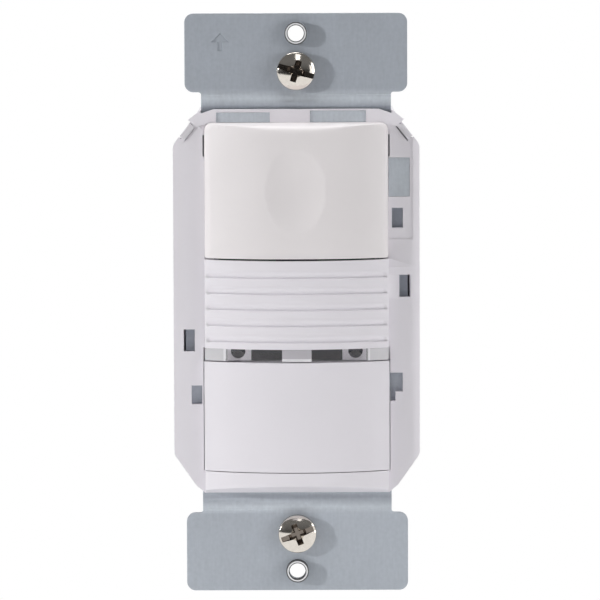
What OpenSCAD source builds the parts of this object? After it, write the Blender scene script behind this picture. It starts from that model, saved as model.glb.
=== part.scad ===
// Wall switch with a passive infrared motion sensor, of decorator size, without its wall plate.
// x runs to the right, y runs into the wall and z runs up, in millimetres.
// The origin is on the wall plane, midway between the two box screws.
// A value ending in _h is a height in front of the wall plane, and one ending in _z is a level.

/* [Mounting strap] */
// Length of the strap, end to end
strap_len = 104; // [102:0.5:110]
// Width of the two ears
ear_w = 39.9; // [37:0.1:44]
// Length of each ear, from its shoulder to the middle of its wall plate hole
ear_len = 10.5; // [9.4:0.1:11.4]
// Corner radius of the ears
ear_corner_r = 1.6; // [0.5:0.1:4]
// Width of the necks between the ears and the body
neck_w = 34; // [33:0.1:36]
// How far the strap reaches in under the raised face, at each side of its opening
strap_lip = 2.4; // [1:0.1:3]
// Thickness of the sheet steel
strap_t = 1.2; // [0.8:0.1:1.6]
// How far the middle of the strap stands forward of the ears
joggle = 0.8; // [0.4:0.1:1.2]
// Length of neck over which the strap steps forward
joggle_run = 1.8; // [1.2:0.1:2.2]
// Flat length between the ear's shoulder and the step
joggle_gap = 0.5; // [0.2:0.1:0.8]
// Spacing of the wall plate screw holes
plate_screw_pitch = 96.8; // [95:0.1:98]
// Diameter of the wall plate screw holes
plate_hole_d = 2.9; // [2.5:0.1:3.3]
// Outside diameter of the raised collar round each of these holes
collar_d = 4.1; // [3.9:0.1:5]
// Height of the collar
collar_rise = 1.4; // [0.5:0.1:2]
// Spacing of the box screws
box_screw_pitch = 83.3; // [82:0.1:84.5]
// Play of the box screw slots across the strap
slot_play = 2.5; // [1:0.1:3]
// Play of the box screw slots along the strap
slot_gap = 0.5; // [0.3:0.1:0.8]
// Height of the arrow stamped in the upper ear
arrow_size = 3.2; // [2:0.1:4]
// Depth of the stamped arrow
arrow_depth = 0.15; // [0.1:0.05:0.3]

/* [Mounting screws] */
// Thread diameter
screw_d = 3.5; // [3:0.1:4]
// Length under the head
screw_len = 19; // [12:0.5:25]
// Diameter of the plain neck under the head, where the fibre washer sits
screw_neck_d = 2.8; // [2.4:0.1:3.2]
// Head diameter
head_d = 6.86; // [6:0.02:7.5]
// Head height
head_rise = 2.4; // [2:0.1:3]
// Height of the head's domed part
head_dome = 1.1; // [0.6:0.1:1.4]
// Width of the driver slot and of the cross
drive_w = 1; // [0.8:0.05:1.2]
// Depth of the driver slot
drive_depth = 1; // [0.6:0.1:1.2]
// Span of the cross recess
cross_span = 3.6; // [3:0.1:4.4]
// Depth of the cross recess
cross_depth = 1.5; // [1.2:0.1:1.8]
// Turn of the upper screw's slot, anticlockwise from level
upper_turn = -17; // [-90:1:90]
// Turn of the lower screw's slot, anticlockwise from level
lower_turn = 20; // [-90:1:90]
// Outside diameter of the fibre washer that keeps each screw in the strap
retainer_d = 7.2; // [6.5:0.1:8]
// Thickness of the fibre washer
retainer_t = 0.4; // [0.3:0.05:0.5]
// Play of the fibre washer along the screw's neck
retainer_play = 0.1; // [0.05:0.05:0.2]

/* [Front cover] */
// Width of the flange
flange_w = 44.1; // [42:0.1:46]
// Level of the flange's top edge
flange_top = 34.9; // [34:0.1:35.2]
// Level of the flange's bottom edge, below the origin
flange_bottom = 33.65; // [33:0.05:34.5]
// Thickness of the flange
flange_t = 1.6; // [1.2:0.1:2]
// Length of the straight top edge
top_edge_w = 29.6; // [26:0.1:32]
// Drop from the top edge to the shoulder beside the neck
top_shoulder = 0.75; // [0.3:0.05:1.2]
// Level where the upper corner slopes meet the sides
top_corner = 27.8; // [26:0.1:29]
// Level where the lower corner slopes meet the sides, below the origin
bottom_corner = 27.05; // [26:0.05:28]
// Width across the shoulders of the bottom edge
bottom_shoulder_w = 36; // [34.5:0.1:38]
// Rise from the bottom edge to its shoulders
bottom_shoulder = 0.85; // [0.3:0.05:1.2]
// Length of the straight bottom edge
bottom_edge_w = 33.2; // [31:0.1:34]
// Width of the raised face
insert_w = 32.9; // [32:0.1:33.5]
// Height of the raised face at its sides, in front of the flange
edge_rise = 1.4; // [1:0.1:2.5]
// Height of the curve of the face, from its sides to its middle
face_bulge = 4.7; // [3.5:0.1:5.5]
// Wall of the face
face_wall = 1.6; // [1.2:0.1:2]
// Thickness of the side walls of the face
side_wall = 1.2; // [0.8:0.1:1.5]
// Slope of the upper and lower faces, in degrees
draft = 13; // [5:0.5:16]
// Height of the bezel under the button
bezel_len = 3.75; // [3.2:0.05:4.2]
// Depth of the shallow panel in the right side of the flange
panel_depth = 0.25; // [0.1:0.05:0.4]
// Thickness of the ledge that the lens sits on
lens_ledge_t = 0.8; // [0.5:0.1:1]
// Width of that ledge
lens_ledge_w = 1.5; // [1:0.1:2]

/* [Grille] */
// Level of the top of the ribbed band
grille_top_z = 8.1; // [7:0.1:9]
// Level of the bottom of the ribbed band
grille_bottom_z = -7.75; // [-8.2:0.05:-7]
// Number of grooves
groove_count = 5; // [3:1:5]
// Pitch of the grooves
groove_pitch = 2.87; // [2:0.01:2.9]
// Depth of the grooves
groove_depth = 0.45; // [0.2:0.05:0.7]
// Distance from the top of the band to the first groove
groove_lead = 3.1; // [2:0.1:3.3]

/* [Lens] */
// Distance from the flange's top edge to the lens
lens_drop = 2.5; // [2.2:0.1:3]
// Wall of the lens
lens_wall = 1.5; // [1:0.1:2]
// Gap between the lens and the ribbed band
lens_gap = 0.3; // [0.15:0.05:0.5]
// Clearance between the lens and its pocket in the cover
lens_fit = 0.15; // [0.05:0.05:0.3]
// Radius of the lens's rounded upper edge
lens_round = 4; // [2:0.1:5]
// Radius of the ball-shaped dish in the lens
dish_r = 32; // [26:0.5:40]
// Depth of the dish
dish_depth = 0.9; // [0.4:0.05:1]
// Pitch of the ring steps inside the lens
fresnel_pitch = 1.5; // [1:0.1:2.5]
// Depth of the ring steps inside the lens
fresnel_depth = 0.25; // [0.1:0.05:0.35]
// Length of each locating tab at the lens's sides
lens_tab_len = 3.3; // [2:0.1:4]
// Thickness of these tabs outside the lens
lens_tab_t = 0.2; // [0.1:0.05:0.25]
// Open width of the flange's slit outside each tab
slit_gap = 0.35; // [0.2:0.05:0.5]

/* [Clear strip] */
// Height of the clear strip
strip_len = 2.1; // [1.6:0.05:2.4]
// Gap between the ribbed band and the strip
strip_gap = 0.1; // [0.05:0.05:0.2]
// How far the strip lies below the face
strip_inset = 0.15; // [0.05:0.05:0.4]
// Thickness of the strip at its middle
strip_t = 3.7; // [2:0.1:4]
// Width between the strip's two legs
strip_leg_span = 25.2; // [24:0.1:27]
// Thickness of the pads that carry the legs
strip_pad_t = 1; // [0.6:0.1:1.2]
// Width of the light guide behind the strip's middle
guide_w = 4.7; // [4:0.1:5]
// Gap between the light guide and the indicator lamp
guide_gap = 0.5; // [0.3:0.1:0.8]
// Thickness of the cover's shelf behind the strip
shelf_t = 0.8; // [0.6:0.1:1]
// Gap between the strip and the shelf
shelf_gap = 0.1; // [0.05:0.05:0.2]

/* [Button] */
// Wall of the button
button_wall = 1.4; // [1:0.1:1.8]
// Gap over and under the button
button_gap = 0.3; // [0.25:0.05:0.5]
// Gap beside the button's skirts
button_side_gap = 0.4; // [0.3:0.05:0.6]
// Height of the skirts' edge in front of the strap
skirt_rise = 0.8; // [0.7:0.1:1.2]
// Distance from the bezel up to the hinge axis
hinge_rise = 1.9; // [1.7:0.1:2.5]
// Height of the hinge axis in front of the strap
hinge_lift = 2; // [1.7:0.1:2.3]
// Diameter of the hinge pins
pin_d = 1.8; // [1.4:0.1:2]
// Running clearance of the pins and of other turning parts, on the radius
running_fit = 0.05; // [0.02:0.01:0.1]
// Radius of the lugs round the pins
lug_r = 1.5; // [1.4:0.1:1.6]
// Thickness of the lugs
lug_t = 1.7; // [1.2:0.1:2]
// Distance from the middle to the lugs' inner faces
lug_x = 9.5; // [7:0.1:10]
// Thickness of the button's arms
arm_t = 1.2; // [0.8:0.1:1.6]
// Gap between an arm and its lug
arm_gap = 0.3; // [0.2:0.05:0.5]
// Distance from the hinge axis up to the switch
switch_rise = 11; // [10.5:0.1:12]
// Diameter of the post that works the switch
post_d = 3.2; // [2:0.1:4]
// Diameter of the post's tip
post_tip_d = 1.6; // [1:0.1:2]
// Length of the post's tip
post_tip_len = 1.5; // [1:0.1:2]

/* [Rear housing] */
// Depth of the housing behind the wall plane
housing_depth = 36.8; // [36:0.1:42]
// Wall of the housing
housing_wall = 1.6; // [1.2:0.1:1.8]
// How far the housing's sides lie inside the flange's edge
housing_inset = 0.2; // [0.1:0.05:0.4]
// Distance that the housing's top edge runs past each side of the neck
housing_top_over = 0.5; // [0.4:0.05:0.8]
// Gap between the strap and the housing around it
rail_gap = 0.3; // [0.1:0.05:0.5]
// Width of the ledges that carry the strap's rails
rail_ledge_w = 2.25; // [1.5:0.05:2.5]
// Thickness of these ledges
rail_ledge_t = 2; // [1:0.1:2.5]
// Length of each corner latch
latch_len = 2.9; // [2:0.1:3.5]
// Thickness of a latch, outside the cover's edge
latch_t = 1.1; // [0.9:0.05:1.3]
// Reach of a latch's hook over the flange
latch_hook = 0.35; // [0.2:0.05:0.5]
// Thickness of the hook
latch_hook_t = 0.6; // [0.4:0.1:0.8]
// Length of the slits that free a latch from the wall
latch_slit_len = 8; // [5:0.5:12]
// Width of these slits
latch_slit_w = 0.5; // [0.3:0.05:0.8]
// Diameter of the three lead exits
lead_hole_d = 3.4; // [2.6:0.1:4]
// Spacing of the lead exits
lead_pitch = 8; // [6:0.5:9]
// Distance from the lead exits to the housing's lower edge
lead_rise = 6; // [5:0.1:7]
// Width of the label recess in the rear
label_w = 30; // [20:0.5:34]
// Height of the label recess
label_len = 38; // [30:0.5:42]
// Depth of the label recess
label_depth = 0.3; // [0.1:0.05:0.5]

/* [Circuit boards] */
// Thickness of both boards
board_t = 1.6; // [1.2:0.1:2]
// Depth of the control board's front, behind the wall plane
control_depth = 3; // [2.8:0.1:3.2]
// Length of the control board
control_len = 58; // [57:0.1:58.5]
// Gap between the control board and the ledges beside it
control_gap = 0.5; // [0.2:0.1:1]
// Distance from the boards' middle up from the origin
board_z = 0.5; // [0.2:0.1:0.6]
// Height of the power board above the housing's rear wall
power_lift = 6.6; // [5:0.1:7]
// Gap between the power board and the housing's sides
power_gap = 1.25; // [0.6:0.05:2]
// Distance from the control board's edges to its screws
column_inset = 3; // [2.6:0.1:3.2]
// Diameter of the columns and bosses that carry the boards
column_d = 4.8; // [4:0.1:5]
// Gap between the power board's ends and the columns
column_gap = 0.6; // [0.3:0.1:0.8]
// Distance from the power board's sides to its screws
boss_inset_x = 3.5; // [3:0.1:3.6]
// Distance from the power board's ends to its screws
boss_inset_z = 2.6; // [2.3:0.1:2.8]
// Shank diameter of the board screws
board_screw_d = 1.6; // [1.2:0.1:2]
// Length of the board screws under their heads
board_screw_len = 6.5; // [5:0.5:7]
// Head diameter of the board screws
board_head_d = 3.6; // [3:0.1:4]
// Head height of the board screws
board_head_rise = 1.2; // [0.8:0.1:1.5]
// Number of pins that link the boards
link_pins = 6; // [4:1:6]
// Pitch of these pins
link_pitch = 2.54; // [2:0.02:2.54]
// Thickness of a pin
link_pin_w = 0.64; // [0.5:0.02:0.8]
// Clearance round a pin in its socket
link_fit = 0.1; // [0.05:0.01:0.15]
// Thickness of the pins' strip and of their socket
link_w = 2.5; // [2:0.1:2.6]
// Length of the socket
link_socket_len = 8.5; // [7:0.1:10]
// Depth of a pin in the socket
link_grip = 5; // [3:0.1:6]

/* [Motion sensor] */
// Diameter of the sensor's can
can_d = 8.2; // [7.5:0.1:9]
// Height of the can
can_rise = 3.4; // [2.8:0.1:3.6]
// Wall of the can
can_wall = 0.25; // [0.15:0.05:0.4]
// Width of the window in the can
can_window_w = 4; // [3:0.1:4.4]
// Height of the window in the can
can_window_len = 3.2; // [2.4:0.1:3.6]
// Overlap of the filter behind the window's edge
filter_lap = 0.35; // [0.2:0.05:0.5]
// Thickness of the filter
filter_t = 0.4; // [0.2:0.05:0.6]
// Diameter of the sensor's base
base_d = 9.2; // [9.1:0.1:10]
// Thickness of the sensor's base
base_t = 0.5; // [0.3:0.1:0.8]
// Thickness of the spacer under the sensor
spacer_t = 1; // [0.5:0.1:1.5]
// Diameter of the spacer
spacer_d = 10; // [9.5:0.1:11]
// Diameter of the sensor's pins
sensor_pin_d = 0.45; // [0.3:0.05:0.6]
// Diameter of the circle that the pins stand on
sensor_pin_circle = 5.08; // [4:0.02:6]
// Clearance round these pins, on the radius
sensor_pin_fit = 0.1; // [0.05:0.05:0.2]
// Length of the pins behind the control board
sensor_pin_tail = 1; // [0.5:0.1:2]

/* [Switch and settings] */
// Width of the push switch
tact_w = 6; // [5.8:0.1:6.5]
// Height of the push switch's body
tact_rise = 3.5; // [3:0.1:4]
// Diameter of its plunger
plunger_d = 3.4; // [3:0.1:3.8]
// Gap between the button's post and the plunger
plunger_gap = 0.05; // [0.04:0.01:0.1]
// Height of the plunger above the switch's body
plunger_rise = 1.5; // [1:0.1:2]
// Extra radius of the collar that keeps the plunger in
plunger_collar = 0.5; // [0.3:0.1:0.6]
// Thickness of that collar
plunger_collar_t = 0.7; // [0.5:0.1:1]
// Width of a setting switch block
dip_w = 5.5; // [5.4:0.1:5.8]
// Length of a setting switch block
dip_len = 5.6; // [5:0.1:5.8]
// Height of a setting switch block
dip_rise = 4; // [3:0.1:4.2]
// Distance from the middle to the centre of each block
dip_x = 5.4; // [5.3:0.1:5.5]
// Distance from the strip's upper edge to the blocks' upper edge
dip_drop = 0.15; // [0:0.05:0.5]
// Sliders in each block
dip_count = 4; // [4:1:4]
// Pitch of the sliders
dip_pitch = 1.27; // [1.1:0.01:1.3]
// Width of a slider
slider_w = 0.6; // [0.5:0.05:0.8]
// Length of a slider
slider_len = 1; // [0.8:0.05:1.2]
// Travel of a slider
slider_travel = 1; // [0.8:0.05:1.2]
// Clearance round a slider
slider_fit = 0.05; // [0.03:0.01:0.1]
// Depth of a slider's slot
slider_slot = 1; // [0.6:0.1:1.5]
// Height of a slider above its block
slider_rise = 0.6; // [0.3:0.1:0.8]
// Width of a trimmer
trimmer_w = 3.9; // [3.6:0.1:4.2]
// Height of a trimmer's body
trimmer_rise = 3.4; // [3:0.1:4]
// Distance from the middle to the centre of each trimmer
trimmer_x = 10.5; // [10.4:0.1:10.8]
// Diameter of a trimmer's dial
dial_d = 2.6; // [2.2:0.1:3]
// Thickness of a dial
dial_t = 0.8; // [0.6:0.1:1]
// Diameter of a dial's stem
dial_stem_d = 1.6; // [1.2:0.1:1.8]
// Length of a dial's stem in the body
dial_stem_len = 2; // [1:0.1:2.4]
// Width of the screwdriver slot in a dial
dial_slot_w = 0.5; // [0.3:0.05:0.7]
// Depth of the screwdriver slot
dial_slot_depth = 0.4; // [0.2:0.05:0.5]
// Diameter of the indicator lamp
lamp_d = 2; // [1.6:0.1:2.2]
// Height of the indicator lamp
lamp_rise = 4.2; // [3:0.1:4.5]
// Diameter of the light cell
cell_d = 2.2; // [1.8:0.1:2.4]
// Height of the light cell
cell_rise = 3.6; // [2.5:0.1:4]
// Distance from the middle to the lamp and to the light cell
lamp_x = 1.3; // [1.2:0.05:1.4]
// Width of the processor
chip_w = 7.5; // [6:0.1:9]
// Length of the processor
chip_len = 10.3; // [8:0.1:11]
// Height of the processor
chip_rise = 2.4; // [1.5:0.1:2.6]
// Level of the processor's middle
chip_z = 5; // [4:0.1:6]
// Pins on each side of the processor
chip_pins = 8; // [4:1:8]
// Pitch of these pins
chip_pitch = 1.27; // [1:0.01:1.27]
// Reach of these pins
chip_pin_len = 1.3; // [0.8:0.1:1.6]
// Width of these pins
chip_pin_w = 0.4; // [0.3:0.05:0.5]
// Thickness of these pins
chip_pin_t = 0.3; // [0.2:0.05:0.4]

/* [Power parts] */
// Width of the relay
relay_w = 12.7; // [10:0.1:13]
// Length of the relay
relay_len = 29; // [26:0.1:29.5]
// Height of the relay
relay_rise = 15.7; // [12:0.1:16.5]
// Width of the film capacitor
film_w = 8; // [6:0.1:9]
// Length of the film capacitor
film_len = 18; // [15:0.1:19]
// Height of the film capacitor
film_rise = 14.5; // [12:0.1:16]
// Diameter of the electrolytic capacitor
can_cap_d = 10; // [8:0.1:10.5]
// Height of the electrolytic capacitor
can_cap_rise = 16; // [12:0.1:17]
// Depth of the groove near its foot
can_cap_groove = 0.4; // [0.2:0.1:0.6]
// Diameter of the varistor
varistor_d = 10; // [8:0.1:11]
// Thickness of the varistor
varistor_t = 4; // [3:0.1:4.5]
// Height of the varistor above its board
varistor_lift = 1.5; // [0.5:0.1:2.5]
// Spacing of the varistor's legs
varistor_pitch = 5; // [4:0.1:7]
// Diameter of the fusible resistor
resistor_d = 3; // [2:0.1:3.5]
// Length of the fusible resistor
resistor_len = 8; // [6:0.1:9]
// Spacing of its legs
resistor_pitch = 11; // [10:0.1:12]
// Height of its middle above its board
resistor_lift = 2.4; // [2:0.1:3]
// Thickness of the legs of these parts
leg_d = 0.7; // [0.5:0.05:0.9]

/* [Hidden] */
$fn = 64;
// Facets of the large face curve
face_fn = 240;
// Steps of a rounded edge
round_steps = 12;
// Overlap of two shapes that make one piece
join = 0.3;
// Reach of a cut past the surface that it starts from
past = 1;

// Levels of the strap
ear_end_z = strap_len / 2;
shoulder_z = plate_screw_pitch / 2 - ear_len;
joggle_out_z = shoulder_z - joggle_gap;
joggle_in_z = joggle_out_z - joggle_run;
strap_back_h = joggle;
strap_front_h = joggle + strap_t;
// Length of the screws' plain necks, from the head to behind the washer
screw_neck_len = running_fit + strap_t + retainer_t + retainer_play;
// Heights of the cover and its curved face
flange_h = strap_front_h + flange_t;
edge_h = flange_h + edge_rise;
crown_h = edge_h + face_bulge;
face_r = (pow(insert_w / 2, 2) + pow(face_bulge, 2)) / (2 * face_bulge);
face_axis_h = crown_h - face_r;
bezel_bottom_z = -flange_bottom;
bezel_top_z = bezel_bottom_z + bezel_len;
// The strap's opening is narrower than the face, and ends inside the cover's ends
strap_opening_w = insert_w - 2 * strap_lip;
strap_end_bar = 3;
strap_opening_top = flange_top - strap_end_bar;
strap_opening_bottom = flange_bottom - strap_end_bar;
// The lens and its seat
lens_top_z = flange_top - lens_drop;
lens_bottom_z = grille_top_z + lens_gap;
lens_mid_z = (lens_top_z + lens_bottom_z) / 2;
lens_len = lens_top_z - lens_bottom_z;
lens_w = insert_w - 2 * lens_fit;
lens_seat_h = strap_front_h + lens_ledge_t;
lens_tab_z = lens_top_z - lens_round;
dish_z = lens_mid_z;
// The clear strip and its pads
strip_top_z = grille_bottom_z - strip_gap;
strip_bottom_z = strip_top_z - strip_len;
strip_mid_z = (strip_top_z + strip_bottom_z) / 2;
strip_w = insert_w - 2 * strip_gap;
strip_pad_h = strap_front_h + strip_pad_t;
strip_back_h = crown_h - strip_inset - strip_t;
shelf_h = strip_back_h - shelf_gap;
// The button, its hinge and its opening
button_top_z = strip_bottom_z - button_gap;
button_bottom_z = bezel_top_z + button_gap;
button_w = insert_w - 2 * strip_gap;
button_opening_w = button_w + 2 * button_side_gap;
skirt_h = strap_front_h + skirt_rise;
hinge_z = bezel_top_z + hinge_rise;
hinge_h = strap_front_h + hinge_lift;
switch_z = hinge_z + switch_rise;
// The housing, its outline and its inside
housing_w = flange_w - 2 * housing_inset;
inner_half_w = housing_w / 2 - housing_wall;
rail_w = 2 * (inner_half_w - rail_gap);
rail_half_len = min(top_corner, bottom_corner) - 2 * rail_gap;
rear_inner_h = housing_wall - housing_depth;
housing_bottom = flange_bottom - housing_inset;
housing_outline = mirrored([
    [neck_w / 2 + housing_top_over - housing_inset, -housing_bottom],
    [housing_w / 2, -bottom_corner],
    [housing_w / 2, top_corner + housing_inset],
    [neck_w / 2 + housing_top_over, flange_top]
]);
cover_outline = mirrored([
    [bottom_edge_w / 2, -flange_bottom],
    [bottom_shoulder_w / 2, bottom_shoulder - flange_bottom],
    [flange_w / 2, -bottom_corner],
    [flange_w / 2, top_corner],
    [neck_w / 2, flange_top - top_shoulder],
    [top_edge_w / 2, flange_top]
]);
// The corner latches stand on the middle of the upper corner slopes
slope_low = [flange_w / 2, top_corner];
slope_high = [neck_w / 2, flange_top - top_shoulder];
slope_mid = (slope_low + slope_high) / 2;
slope_angle = atan2(slope_high[1] - slope_low[1], slope_high[0] - slope_low[0]);
// Width of the flange beside the face
rim_w = (flange_w - insert_w) / 2;
// Openings in the flange beside the face: side, distance from the face and width, both as shares of
// the flange's width there, lower level, height
side_windows = [
    [1, 0.01, 0.68, 19.2, 7],
    [1, 0.115, 0.355, 13.6, 3.6],
    [1, 0.35, 0.355, 1.2, 4],
    [1, 0.045, 0.41, -15.8, 3.4],
    [1, 0.06, 0.16, -17.5, 2],
    [-1, 0.33, 0.355, -8.5, 4],
    [-1, 0.1, 0.34, -18, 3.4]
];
// Openings in the flange over the lens: left edge, width, height
top_windows = [[-14.3, 9.6, 1.8], [2.5, 10, 2.1]];
// Lower and upper level of the shallow panel, and its width
panel_low_z = 11.6;
panel_high_z = 31;
panel_w = 0.785 * rim_w;
// The boards
control_front_h = -control_depth;
control_back_h = control_front_h - board_t;
control_w = 2 * (inner_half_w - rail_ledge_w - control_gap);
column_x = control_w / 2 - column_inset;
column_z = control_len / 2 - column_inset;
power_back_h = rear_inner_h + power_lift;
power_front_h = power_back_h + board_t;
power_w = 2 * (inner_half_w - power_gap);
power_len = 2 * (column_z - column_d / 2 - column_gap);
boss_x = power_w / 2 - boss_inset_x;
boss_z = power_len / 2 - boss_inset_z;
link_z = board_z - power_len / 2 + link_w;
link_bottom_h = control_back_h - link_socket_len;
// The sensor's stack on the control board, behind the middle of the lens
spacer_h = control_front_h + spacer_t;
base_h = spacer_h + base_t;
can_h = base_h + can_rise;
// The light guide ends in front of the indicator lamp
guide_h = control_front_h + lamp_rise + guide_gap;
// The settings behind the clear strip
dip_z = strip_top_z - dip_drop - dip_len / 2;
dip_h = control_front_h + dip_rise;
setting_z = dip_z + dip_len / 2 - trimmer_w / 2;
trimmer_h = control_front_h + trimmer_rise;
tact_h = control_front_h + tact_rise;
plunger_h = tact_h + plunger_rise;
post_tip_h = plunger_h + plunger_gap;
plunger_room = 1.2;
// Places of the parts on the power board, measured from its edges and corners
relay_x = 2.6 + relay_w / 2 - power_w / 2;
relay_z = board_z + power_len / 2 - 5 - relay_len / 2;
film_x = power_w / 2 - 6 - film_w / 2;
film_z = board_z + power_len / 2 - 4.5 - film_len / 2;
can_cap_x = power_w / 2 - 5 - can_cap_d / 2;
can_cap_z = film_z - film_len / 2 - 3 - can_cap_d / 2;
varistor_x = relay_x + 1;
varistor_z = relay_z - relay_len / 2 - 2 - varistor_t / 2;
resistor_x = can_cap_x - 1;
resistor_z = can_cap_z - can_cap_d / 2 - 2 - resistor_d / 2;

// A closed outline from its right half, which runs from the bottom to the top
function mirrored(right) = concat(right, [for (i = [len(right) - 1:-1:0]) [-right[i][0], right[i][1]]]);

// Unit vector at right angles to the edge from a to b, to its left
function left_of(a, b) = [a[1] - b[1], b[0] - a[0]] / norm(b - a);

// An outline moved inwards by a wall's thickness
function inset(line, wall) = [
    for (i = [0:len(line) - 1])
        let (
            before = line[(i + len(line) - 1) % len(line)],
            after = line[(i + 1) % len(line)],
            m = left_of(before, line[i]),
            n = left_of(line[i], after)
        )
        line[i] + wall * (m + n) / (1 + m * n)
];

// Points of an arc round a centre
function arc(centre, r, from, to) = [
    for (i = [0:round_steps])
        let (a = from + (to - from) * i / round_steps)
        centre + r * [cos(a), sin(a)]
];

// Turns children so that their z axis points out of the wall, from the given height
module facing(h) {
    translate([0, -h, 0]) rotate([90, 0, 0]) children();
}

// An outline in x and z, from one height to another
module slab(from_h, to_h) {
    facing(from_h) linear_extrude(to_h - from_h) children();
}

// An outline in height and z, from one x to another
module beam(from_x, to_x) {
    translate([to_x, 0, 0]) rotate([90, 0, -90]) linear_extrude(to_x - from_x) children();
}

// A block with its middle at a place in x and z
module brick(at, size, from_h, to_h) {
    slab(from_h, to_h) translate(at) square(size, center = true);
}

// A round peg with its axis at a place in x and z
module peg(at, r, from_h, to_h) {
    facing(from_h) translate([at[0], at[1], 0]) cylinder(r = r, h = to_h - from_h);
}

// A round bar across the object, from one x to another
module bar(h, z, r, from_x, to_x) {
    translate([from_x, -h, z]) rotate([0, 90, 0]) cylinder(r = r, h = to_x - from_x);
}

// The space behind the curved face, or behind a surface that lies under it
module face_space(under, from_z, to_z) {
    translate([0, -face_axis_h, from_z]) cylinder(r = face_r - under, h = to_z - from_z, $fn = face_fn);
}

module rounded(w, l, r) {
    square([w, l - 2 * r], center = true);
    square([w - 2 * r, l], center = true);
    for (sx = [-1, 1], sy = [-1, 1])
        translate([sx * (w / 2 - r), sy * (l / 2 - r)]) circle(r = r);
}

module slot(l, w) {
    square([l - w, w], center = true);
    for (s = [-1, 1]) translate([s * (l - w) / 2, 0]) circle(d = w);
}

module strap_outline() {
    difference() {
        union() {
            for (s = [-1, 1])
                translate([0, s * (ear_end_z + shoulder_z) / 2])
                    rounded(ear_w, ear_end_z - shoulder_z, ear_corner_r);
            square([neck_w, 2 * shoulder_z + 2 * join], center = true);
            polygon(mirrored([
                [neck_w / 2, -rail_half_len - (rail_w - neck_w) / 2],
                [rail_w / 2, -rail_half_len],
                [rail_w / 2, rail_half_len],
                [neck_w / 2, rail_half_len + (rail_w - neck_w) / 2]
            ]));
        }
        translate([-strap_opening_w / 2, -strap_opening_bottom])
            square([strap_opening_w, strap_opening_top + strap_opening_bottom]);
        for (s = [-1, 1])
            translate([0, s * box_screw_pitch / 2])
                slot(screw_d + slot_play, screw_d + slot_gap);
    }
}

// Side view of the sheet, with the steps in its necks
module strap_ribbon() {
    half = [joggle_in_z, joggle_out_z, ear_end_z + past];
    levels = [-half[2], -half[1], -half[0], half[0], half[1], half[2]];
    steps = [0, 0, joggle, joggle, 0, 0];
    polygon(concat(
        [for (i = [0:5]) [steps[i] + strap_t, levels[i]]],
        [for (i = [5:-1:0]) [steps[i], levels[i]]]
    ));
}

module arrow(size) {
    translate([-size / 8, -size / 2]) square([size / 4, size * 0.6]);
    polygon([[-size / 2, 0], [size / 2, 0], [0, size / 2]]);
}

module mounting_strap() {
    reach = ear_w + rail_w;
    arrow_at = [-ear_w / 2 + 2 * arrow_size, ear_end_z - 1.6 * arrow_size];
    color("silver") difference() {
        union() {
            intersection() {
                slab(-past, strap_front_h + past) strap_outline();
                beam(-reach / 2, reach / 2) strap_ribbon();
            }
            for (s = [-1, 1])
                peg([0, s * plate_screw_pitch / 2], collar_d / 2, strap_t / 2, strap_t + collar_rise);
        }
        for (s = [-1, 1])
            peg([0, s * plate_screw_pitch / 2], plate_hole_d / 2, -past, strap_t + collar_rise + past);
        slab(strap_t - arrow_depth, strap_t + past) translate(arrow_at) arrow(arrow_size);
    }
}

// A pan head screw with a slot and a cross in its head, seated on the strap's ear
module mounting_screw(z, turn) {
    dome_r = (pow(head_d / 2, 2) + pow(head_dome, 2)) / (2 * head_dome);
    color("lightgray") translate([0, 0, z]) facing(strap_t + running_fit) rotate(turn) difference() {
        union() {
            intersection() {
                cylinder(d = head_d, h = head_rise + past);
                translate([0, 0, head_rise - dome_r]) sphere(r = dome_r, $fn = face_fn);
            }
            translate([0, 0, -screw_len]) cylinder(d = screw_d, h = screw_len - screw_neck_len);
            translate([0, 0, -screw_neck_len - join])
                cylinder(d = screw_neck_d, h = screw_neck_len + 2 * join);
        }
        translate([-head_d, -drive_w / 2, head_rise - drive_depth]) cube([2 * head_d, drive_w, head_rise]);
        for (quarter = [0, 90])
            rotate(quarter) translate([-cross_span / 2, -drive_w / 2, head_rise - cross_depth])
                cube([cross_span, drive_w, head_rise]);
    }
}

module upper_mounting_screw() {
    mounting_screw(box_screw_pitch / 2, upper_turn);
}

module lower_mounting_screw() {
    mounting_screw(-box_screw_pitch / 2, lower_turn);
}

module screw_retainers() {
    color("firebrick") for (s = [-1, 1]) difference() {
        peg([0, s * box_screw_pitch / 2], retainer_d / 2, -retainer_t, 0);
        peg([0, s * box_screw_pitch / 2], screw_neck_d / 2 + running_fit, -retainer_t - past, past);
    }
}

module cover_flange() {
    difference() {
        slab(strap_front_h, flange_h) polygon(cover_outline);
        brick([0, lens_mid_z], [insert_w, lens_len + 2 * lens_fit], lens_seat_h, flange_h + past);
        translate([0, 0, grille_bottom_z]) slab(strap_front_h - past, flange_h + past)
            translate([lens_ledge_w - lens_w / 2, 0])
                square([lens_w - 2 * lens_ledge_w, lens_top_z - lens_ledge_w - grille_bottom_z]);
        slab(strap_front_h - past, flange_h + past) translate([-button_opening_w / 2, bezel_top_z])
            square([button_opening_w, grille_bottom_z - bezel_top_z]);
        slab(strap_front_h - past, flange_h + past) flange_windows();
        slab(flange_h - panel_depth, flange_h + past) translate([insert_w / 2, panel_low_z])
            square([panel_w, panel_high_z - panel_low_z]);
    }
}

module flange_windows() {
    for (w = side_windows)
        translate([w[0] * (insert_w / 2 + (w[1] + w[2] / 2) * rim_w), w[3] + w[4] / 2])
            square([w[2] * rim_w, w[4]], center = true);
    for (w = top_windows)
        translate([w[0], lens_top_z + lens_fit - join]) square([w[1], w[2] + join]);
    for (s = [-1, 1])
        translate([s * (lens_w / 2 + (slit_gap - lens_fit) / 2), lens_tab_z])
            square([2 * lens_tab_t + slit_gap + lens_fit, lens_tab_len + 4 * lens_fit], center = true);
}

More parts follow.
